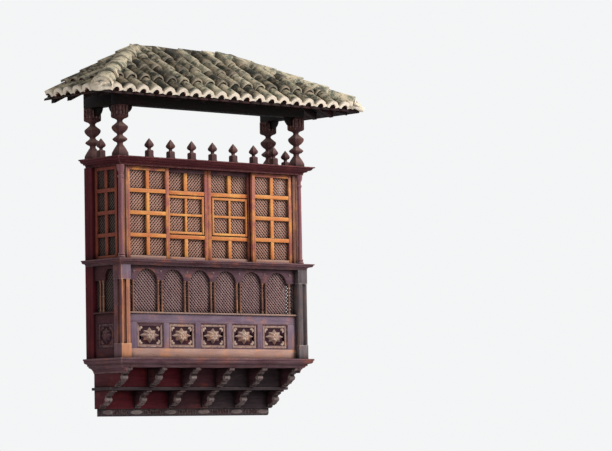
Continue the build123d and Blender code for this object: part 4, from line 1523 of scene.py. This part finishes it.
@dataclass
class Gallery(Assembly):
    """Finials, cut posts, brackets and eave beams.

    Attributes:
        post_half: Half the width of a post's head.
        reed_radius: Radius of a reed on it.
        reed_half: Half the length of a reed's straight part.
        reed_pitch: Distance between reeds.
        reed_drop: From the head of a post to the middle of its reeds.
    """

    post_half: float = 0.074
    reed_radius: float = 0.0125
    reed_half: float = 0.036
    reed_pitch: float = 0.044
    reed_drop: float = 0.066

    def build(self) -> None:
        """Makes every piece between the cap rail and the roof."""
        # Brackets and eave beams take the nearly black eave finish: painted shadow under the roof.
        for node, grain, width, finish in (("finials", Grain.UPRIGHT, 0.005, Finish.GALLERY),
                                           ("roof_posts", Grain.UPRIGHT, 0.008, Finish.GALLERY),
                                           ("post_brackets", Grain.OUTWARD, 0.004, Finish.EAVE_BEAM),
                                           ("eave_beam_front", Grain.ACROSS, 0.006, Finish.EAVE_BEAM),
                                           ("eave_beams_side", Grain.OUTWARD, 0.006, Finish.EAVE_BEAM)):
            parts = [paint(self.softened(node, width), finish, grain)]
            if node == "roof_posts":
                (*_, foot), (*_, head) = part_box(node)
                # Tone falls from the foot to the head of each post: painted shade under the roof, not fading.
                faded = [1 - (face.center.z - foot) / (head - foot) for face in parts[0].data.polygons]
                parts = [mark(parts[0], "tone", faded), *self.reeds()]
            finish_piece(parts, f"{node}_cut", node)

    def reeds(self) -> list[Object]:
        """Three reeds with round ends on each face of the post heads that shows.

        Returns:
            The finished reeds.
        """
        low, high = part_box("roof_posts")
        half = self.post_half
        reed = primitive(bpy.ops.mesh.primitive_uv_sphere_add, segments=12, ring_count=8,
                         radius=self.reed_radius)
        moved(cut(reed, ((0, 0, 0), (0, 0, -1)), fill=False), at(z=self.reed_half))
        apply_modifier(reed, "MIRROR", use_axis=(False, False, True))
        with editing(reed):
            bpy.ops.mesh.select_all(action="DESELECT")
            bpy.ops.mesh.select_non_manifold()
            bpy.ops.mesh.bridge_edge_loops()
        paint(shade(outward(reed)), Finish.GALLERY, tone=0.4)
        made = []
        for side in (-1, 1):
            for y in (low[1] + half, -half):
                post = at(side * (high[0] - half), y, high[2] - self.reed_drop)
                faces = (0, 1, 3) if y == -half else range(4)
                made += copies(reed, [post @ turn(face * QUARTER, "Z") @ at(across, -half) for face in faces
                                      for across in (-self.reed_pitch, 0, self.reed_pitch)])
        drop(reed)
        return made


@dataclass
class TiledRoof(Assembly):
    """Hipped canopy of barrel tiles on boards and rafters.

    Attributes:
        ridge_half: Half the length of the row along the wall.
        ridge_lap: How far that row reaches past it.
        eave_half: Half the width of the eaves.
        reach: How far the eaves stand out from the wall.
        eave_level: Height of the bed of the tiles at the eaves.
        rise: How much higher it is at the wall.
        bed: Thickness of that bed.
        bed_setback: How far it ends behind the eaves.
        eave_lean: How far the lowest tiles start up the slope, so that their crowns stay behind the eaves.
        wall_gap: From the wall to the last tiles of the slopes, under the row along the wall.
        column_pitch: Distance between the rows of cover tiles.
        exposure: Length of a tile that shows.
        lip: Length of a tile's bleached end.
        hip_start: How far up the slope a tile may begin past a hip and still be laid.
        hip_slack: How far along the eave it may.
        hip_mouth: From the corner of the eaves to the lowest hip tile.
        hip_count: Tiles on a hip.
        hip_bed: How deep the lowest hip tile lies.
        hip_sink: How much deeper the highest one lies.
        ridge_count: Tiles along the wall.
        board_width: Width of a roof board.
        board_gap: Joint between two boards.
        seed: Seed of the unevenness.
    """

    ridge_half: float = 0.680
    ridge_lap: float = 0.05
    eave_half: float = 2.030
    reach: float = 1.070
    eave_level: float = 3.6011
    rise: float = 0.652
    bed: float = 0.030
    bed_setback: float = 0.075
    eave_lean: float = 0.046
    wall_gap: float = 0.05
    column_pitch: float = 0.193
    exposure: float = 0.300
    lip: float = 0.045
    hip_start: float = 0.10
    hip_slack: float = 0.02
    hip_mouth: float = 0.150
    hip_count: int = 5
    hip_bed: float = 0.004
    hip_sink: float = 0.028
    ridge_count: int = 4
    board_width: float = 0.16
    board_gap: float = 0.004
    seed: int = 7

    def build(self) -> None:
        """Makes the timber under the roof, then the tiles on it."""
        for node, grain, axis in (("rafters", Grain.OUTWARD, None), ("wall_ledger", Grain.ACROSS, None),
                                  ("roof_boards_front", Grain.OUTWARD, 0),
                                  ("roof_boards_sides", Grain.ACROSS, 1)):
            obj = cut(self.softened(node, 0.002), WALL)
            boards = [obj] if axis is None else planked(obj, axis, self.board_width, self.board_gap)
            # Rafters, ledger and boards are painted nearly black as shade under the roof.
            for k, board in enumerate(boards):
                paint(board, Finish.ROOF_TIMBER, grain, (k * 5 % 7) / 6)
            finish_piece(boards, f"{node}_sawn", node)
        dice = random.Random(self.seed)
        patterns = {"cover": self.barrel(0.40, 0.080, 0.066, 0.018, 0.25),
                    "pan": self.barrel(0.40, 0.066, 0.078, 0.014, 0.1),
                    "eave cover": self.barrel(0.34, 0.085, 0.070, 0.040),
                    "eave pan": self.barrel(0.34, 0.070, 0.078, 0.040)}
        for name in ("pan", "eave pan"):
            pan = mark(moved(patterns[name], Matrix.Diagonal((1, 1, -0.55, 1))), "inner", 0.0)
            pan.data.flip_normals()
        self.slopes(patterns, dice)
        drop(*patterns.values())
        self.hips(dice)
        self.wall_row(dice)

    def barrel(self, length: float, low_radius: float, high_radius: float, thickness: float,
               bleach: float = 1.0) -> Object:
        """One barrel tile along +Y with its crown towards +Z.

        Args:
            length: Its length.
            low_radius: Outer radius at the lower end, which is at Y = 0.
            high_radius: Outer radius at the upper end.
            thickness: Thickness of the clay.
            bleach: How far its lower end is bleached.

        Returns:
            The finished tile, with marks on its end and on its inside.
        """
        obj = primitive(bpy.ops.mesh.primitive_cylinder_add, vertices=20, radius=1, depth=1,
                        end_fill_type="NOTHING", location=(0, 0.5, 0), rotation=(-QUARTER, 0, 0))
        cut(obj, ((0, 0, 0.02), (0, 0, -1)), fill=False)
        for vertex in obj.data.vertices:
            radius = low_radius + (high_radius - low_radius) * vertex.co.y
            vertex.co = Vector((vertex.co.x * radius, vertex.co.y * length, vertex.co.z * radius))
        cut(obj, ((0, self.lip, 0), (0, 1, 0)), clear=False, fill=False)
        apply_modifier(obj, "SOLIDIFY", thickness=thickness, offset=-1)
        shade(obj, 40)
        rim = 0.004
        mark(obj, "end", [bleach if vertex.co.y < rim else 0.0 for vertex in obj.data.vertices], "POINT")
        mark(obj, "inner", [float(face.normal.x * face.center.x + face.normal.z * face.center.z < 0
                                  and abs(face.normal.y) < 0.5) for face in obj.data.polygons])
        return paint(obj, Finish.LICHENED_CLAY)

    def laid(self, tile: Object, place: Matrix, dice: random.Random, loose: float,
             tones: Span = (0.0, 1.0)) -> Object:
        """A copy of a tile, laid a little unevenly and given its own tone.

        Args:
            tile: The pattern tile.
            place: Where it goes.
            dice: Source of the unevenness.
            loose: How uneven it is laid.
            tones: Darkest and palest tone that it may get.

        Returns:
            The laid tile.
        """
        limits = ((-0.006, 0.006), (0.0, 0.018), (0.0, 0.006))
        nudge = at(*(dice.uniform(low, high) * loose for low, high in limits))
        askew = turn(math.radians(dice.uniform(-2.2, 2.2) * loose), "Z")
        tone = tones[0] + (tones[1] - tones[0]) * dice.random()
        return mark(copies(tile, [place @ nudge @ askew])[0], "tone", tone)

    def slope_frame(self, start: Point, along: Vector, inward: Vector) -> Matrix:
        """Frame on a slope: X along the eave, Y up the slope, Z out of it.

        Args:
            start: Origin on the bed.
            along: Direction of the eave.
            inward: The way up the slope.

        Returns:
            The matrix of that frame.
        """
        x, y = along.normalized(), inward.normalized()
        return at(*start) @ Matrix((x, y, x.cross(y))).transposed().to_4x4()

    def courses(self, patterns: dict[str, Object], base: Matrix, span: Span, length: float,
                dice: random.Random, skip: Callable[[float, float], bool]) -> Object:
        """Columns of cover tiles with pans between them on one slope.

        Args:
            patterns: The pattern tiles by name.
            base: Frame of the slope.
            span: Ends of the eave in that frame.
            length: Length of the slope.
            dice: Source of the unevenness.
            skip: Says which places lie wholly past the hips.

        Returns:
            The laid tiles.
        """
        columns = round((span[1] - span[0]) / self.column_pitch)
        pitch = (span[1] - span[0]) / columns
        tiles = []
        for column in range(columns):
            x = span[0] + (column + 0.5) * pitch
            for row in range(round(length / self.exposure)):
                y, kind, lift, sunk, tilt, loose, tones = (
                    (row * self.exposure, "", 0.014, 0.036, -0.03, 1.0, (-0.10, 0.95)) if row
                    else (self.eave_lean, "eave ", -0.018, 0.022, 0.010, 0.4, (0.1, 0.8)))
                if not skip(x, y):
                    place = base @ at(x, y, lift) @ turn(tilt, "X")
                    tiles.append(self.laid(patterns[kind + "cover"], place, dice, loose, tones))
                if column < columns - 1 and not skip(x + pitch / 2, y):
                    place = base @ at(x + pitch / 2, y, sunk) @ turn(tilt + 0.01, "X")
                    tiles.append(self.laid(patterns[kind + "pan"], place, dice, 0.4, (-0.5, 0.3)))
        return join(tiles)

    def clay_body(self, obj: Object, finish: Finish, tone: float, bleach: float = 0.0) -> Object:
        """Gives a solid body of clay or mortar the marks of a tile and its finish."""
        mark(mark(obj, "end", bleach, "POINT"), "inner", 0.0)
        return paint(obj, finish, tone=tone)

    def slopes(self, patterns: dict[str, Object], dice: random.Random) -> None:
        """Tiles and mortar beds of the front and of the two flanks, cut at the hips.

        Args:
            patterns: The pattern tiles by name.
            dice: Source of the unevenness.
        """
        eave, ridge, top = self.eave_half, self.ridge_half, self.eave_level + self.rise
        run = eave - ridge
        start, slack = self.hip_start, self.hip_slack
        normal = Vector((self.reach, run, 0)).normalized()
        wall = ((0, -self.wall_gap, 0), (0, 1, 0))
        share = self.bed_setback / self.reach
        x, y, low = eave - run * share, self.bed_setback - self.reach, self.eave_level + self.rise * share
        up = Vector((0, self.reach, self.rise))
        front = self.slope_frame((0, -self.reach, self.eave_level), Vector((1, 0, 0)), up)
        tiles = self.courses(patterns, front, (-eave, eave), up.length, dice,
                             lambda x, y: abs(x) > eave + slack - run * (y - start) / up.length)
        cut(tiles, ((ridge, 0, 0), normal), ((-ridge, 0, 0), (-normal.x, normal.y, 0)),
            ((0, -self.reach, 0), (0, -1, 0)), wall)
        bed = prism([(-ridge, 0, top), (-x, y, low), (x, y, low), (ridge, 0, top)], -self.bed)
        self.clay_body(bed, Finish.SHADED_MORTAR, 0.3)
        finish_piece([tiles, bed], "barrel_tiles_front", "tiles_front")
        up = Vector((-run, 0, self.rise))
        flank = self.slope_frame((eave, -self.reach, self.eave_level), Vector((0, 1, 0)), up)
        tiles = self.courses(patterns, flank, (0, self.reach), up.length, dice,
                             lambda x, y: x < self.reach * (y - start) / up.length - slack)
        cut(tiles, ((ridge, 0, 0), -normal), ((eave, 0, 0), (1, 0, 0)), wall)
        bed = prism([(ridge, 0, top), (x, y, low), (x, 0, low)], -self.bed)
        self.clay_body(bed, Finish.SHADED_MORTAR, 0.3)
        finish_piece(both_sides([tiles, bed]), "barrel_tiles_sides", "tiles_sides")

    def hips(self, dice: random.Random) -> None:
        """Large tiles laid up each hip, the lowest one closed with mortar.

        Args:
            dice: Source of the unevenness.
        """
        start = Vector((self.eave_half, -self.reach, self.eave_level))
        hip = Vector((self.ridge_half, 0, self.eave_level + self.rise)) - start
        base = self.slope_frame(start, Vector((hip.y, -hip.x, 0)), hip)
        tile = self.barrel(0.44, 0.124, 0.104, 0.024, 0.35)
        plug = turning([(0.080, 0), (0.099, 0.008), (0.099, 0.16), (0.050, 0.17)], 18)
        moved(plug, at(y=self.hip_mouth - 0.012) @ turn(-QUARTER, "X"))
        cut(plug, ((0, 0, -0.02), (0, 0, -1)))
        plug = join([plug, soften(block((-0.125, 0.125), (0.010, 0.240), (-0.026, 0.032)), 0.010)])
        step = (hip.length - self.hip_mouth - 0.02) / self.hip_count
        pieces = [moved(self.clay_body(plug, Finish.LICHENED_CLAY, 0.9, 0.9), base)]
        for k in range(self.hip_count):
            deep = self.hip_bed + self.hip_sink * (k / (self.hip_count - 1)) ** 3
            place = base @ at(0, self.hip_mouth + k * step, -deep) @ turn(-0.035, "X")
            pieces.append(self.laid(tile, place, dice, 0.7, (0.9, 1.0)))
        drop(tile)
        row = cut(join(pieces), WALL, ((0, -self.reach, 0), (0, -1, 0)), ((self.eave_half, 0, 0), (1, 0, 0)))
        finish_piece(both_sides([row]), "hip_barrels", "hip_tiles")

    def wall_row(self, dice: random.Random) -> None:
        """The row of tiles along the wall.

        Args:
            dice: Source of the unevenness.
        """
        end = self.ridge_half + self.ridge_lap
        base = self.slope_frame((-end, 0, self.eave_level + self.rise), Vector((0, -1, 0)), Vector((1, 0, 0)))
        tile = self.barrel(0.44, 0.086, 0.076, 0.016)
        places = [base @ at(y=2 * end * k / self.ridge_count, z=-0.016) @ turn(-0.02, "X")
                  for k in range(self.ridge_count)]
        row = join([self.laid(tile, place, dice, 0.5) for place in places])
        drop(tile)
        cut(row, WALL, ((end, 0, 0), (1, 0, 0)))
        finish_piece([row], "wall_row_barrels", "wall_tiles")


@dataclass
class Studio:
    """Floor, screen behind the leaves, light and camera.

    Attributes:
        camera_place: Where the camera stands.
        yaw: Its turn to the right of straight ahead, in degrees.
        pitch: Its tilt upwards, in degrees.
        roll: Its roll, in degrees.
        focal: Focal length in pixels of the picture.
        picture_width: Width of the picture in pixels.
        floor_level: Height of the floor.
        aim: Where the lamps point.
        lamps: Name, place, size and power of each lamp.
    """

    camera_place: tuple[float, float, float] = (-23.040, -27.999, -0.4075)
    yaw: float = 41.812
    pitch: float = 4.091
    roll: float = 0.986
    focal: float = 3066.68
    picture_width: int = 612
    floor_level: float = -1.1
    aim: tuple[float, float, float] = (0, -0.3, 2.2)
    lamps: tuple = (("key", (7.5, -9.0, 8.0), 4.0, 1380), ("fill", (-8.0, -7.0, 2.0), 6.0, 130))

    def build(self) -> None:
        """Sets the whole stage: a pale floor below, a dark screen for the unlit room behind, and light."""
        self.surface("studio_floor", (0.78, 0.79, 0.80), 0.9, 0.68, (120, 120, 1),
                     location=(0, 0, self.floor_level))
        self.surface("unlit_room_screen", (0.006, 0.004, 0.005), 1.0, 0.0, (2.56, 2.27, 1),
                     location=(0, 0.004, DECK + 1.155), rotation=(QUARTER, 0, 0))
        self.world()
        self.light()
        self.camera()

    def surface(self, name: str, colour: Colour, roughness: float, glow: float, scale: Point,
                **settings: object) -> None:
        """An even matt plane that shows from its front only, so that other views look through its back.

        Args:
            name: Its name.
            colour: Its colour.
            roughness: Its roughness.
            glow: How much of it the camera sees as a pale glow.
            scale: Its size.
            settings: Its place and turn.
        """
        plane = primitive(bpy.ops.mesh.primitive_plane_add, scale, size=1, **settings)
        plane.name = name
        material = bpy.data.materials.new(name.replace("_", " "))
        material.use_nodes = True
        bench = NodeBench(material.node_tree)
        shader = bench.tree.nodes["Principled BSDF"]
        bench.feed(shader, {"Base Color": (*colour, 1), "Roughness": roughness})
        pale = bench.add("Emission", {"Color": (0.90, 0.91, 0.92, 1), "Strength": 1.0}).outputs[0]
        seen = bench.times(bench.add("LightPath").outputs["Is Camera Ray"], glow)
        front = bench.add("MixShader", {0: seen, 1: shader.outputs[0], 2: pale}).outputs[0]
        back, clear = bench.add("NewGeometry").outputs["Backfacing"], bench.add("BsdfTransparent").outputs[0]
        mix = bench.add("MixShader", {0: back, 1: front, 2: clear})
        bench.feed(bench.tree.nodes["Material Output"], {0: mix.outputs[0]})
        plane.data.materials.append(material)

    def world(self) -> None:
        """A pale surround to look at and a softer one to light with."""
        world = bpy.data.worlds.new("pale surround")
        bpy.context.scene.world = world
        world.use_nodes = True
        world.node_tree.nodes.clear()
        bench = NodeBench(world.node_tree)
        light = bench.add("Background", {"Color": (0.94, 0.97, 1.0, 1), "Strength": 0.36})
        seen = bench.add("Background", {"Color": (0.905, 0.912, 0.918, 1), "Strength": 1.0})
        path = bench.add("LightPath").outputs
        rays = bench.plus(path["Is Camera Ray"], path["Is Glossy Ray"])
        rays = bench.plus(rays, path["Is Transmission Ray"])
        mix = bench.add("MixShader", {0: rays, 1: light.outputs[0], 2: seen.outputs[0]})
        bench.add("OutputWorld", {0: mix.outputs[0]})

    def light(self) -> None:
        """A large key from the upper right in front, and a weak fill from the left."""
        for name, place, size, power in self.lamps:
            data = bpy.data.lights.new(name, "AREA")
            data.shape, data.size, data.energy = "SQUARE", size, power
            lamp = bpy.data.objects.new(name, data)
            lamp.location = place
            lamp.rotation_euler = (Vector(self.aim) - Vector(place)).to_track_quat("-Z", "Y").to_euler()
            bpy.context.collection.objects.link(lamp)

    def camera(self) -> None:
        """The camera that took the picture, solved from its straight edges."""
        data = bpy.data.cameras.new("camera")
        data.sensor_width = 36
        data.sensor_fit = "HORIZONTAL"
        data.lens = self.focal / self.picture_width * data.sensor_width
        data.clip_end = 500
        camera = bpy.data.objects.new("camera", data)
        yaw, pitch, roll = (math.radians(angle) for angle in (self.yaw, self.pitch, self.roll))
        level = turn(-yaw, "Z") @ turn(QUARTER + pitch, "X")
        camera.matrix_world = at(*self.camera_place) @ level @ turn(-roll, "Z")
        bpy.context.collection.objects.link(camera)
        bpy.context.scene.camera = camera


def main() -> None:
    """Builds the balcony and its stage."""
    logging.basicConfig(level=logging.INFO, format="%(message)s")
    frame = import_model()
    bpy.context.scene.view_settings.view_transform = "Standard"
    Studio().build()
    for assembly in (CorbelledBase, Courses, ParapetStorey, LatticeStorey, Gallery, TiledRoof):
        assembly(frame).build()
    pick()


if __name__ == "__main__":
    main()
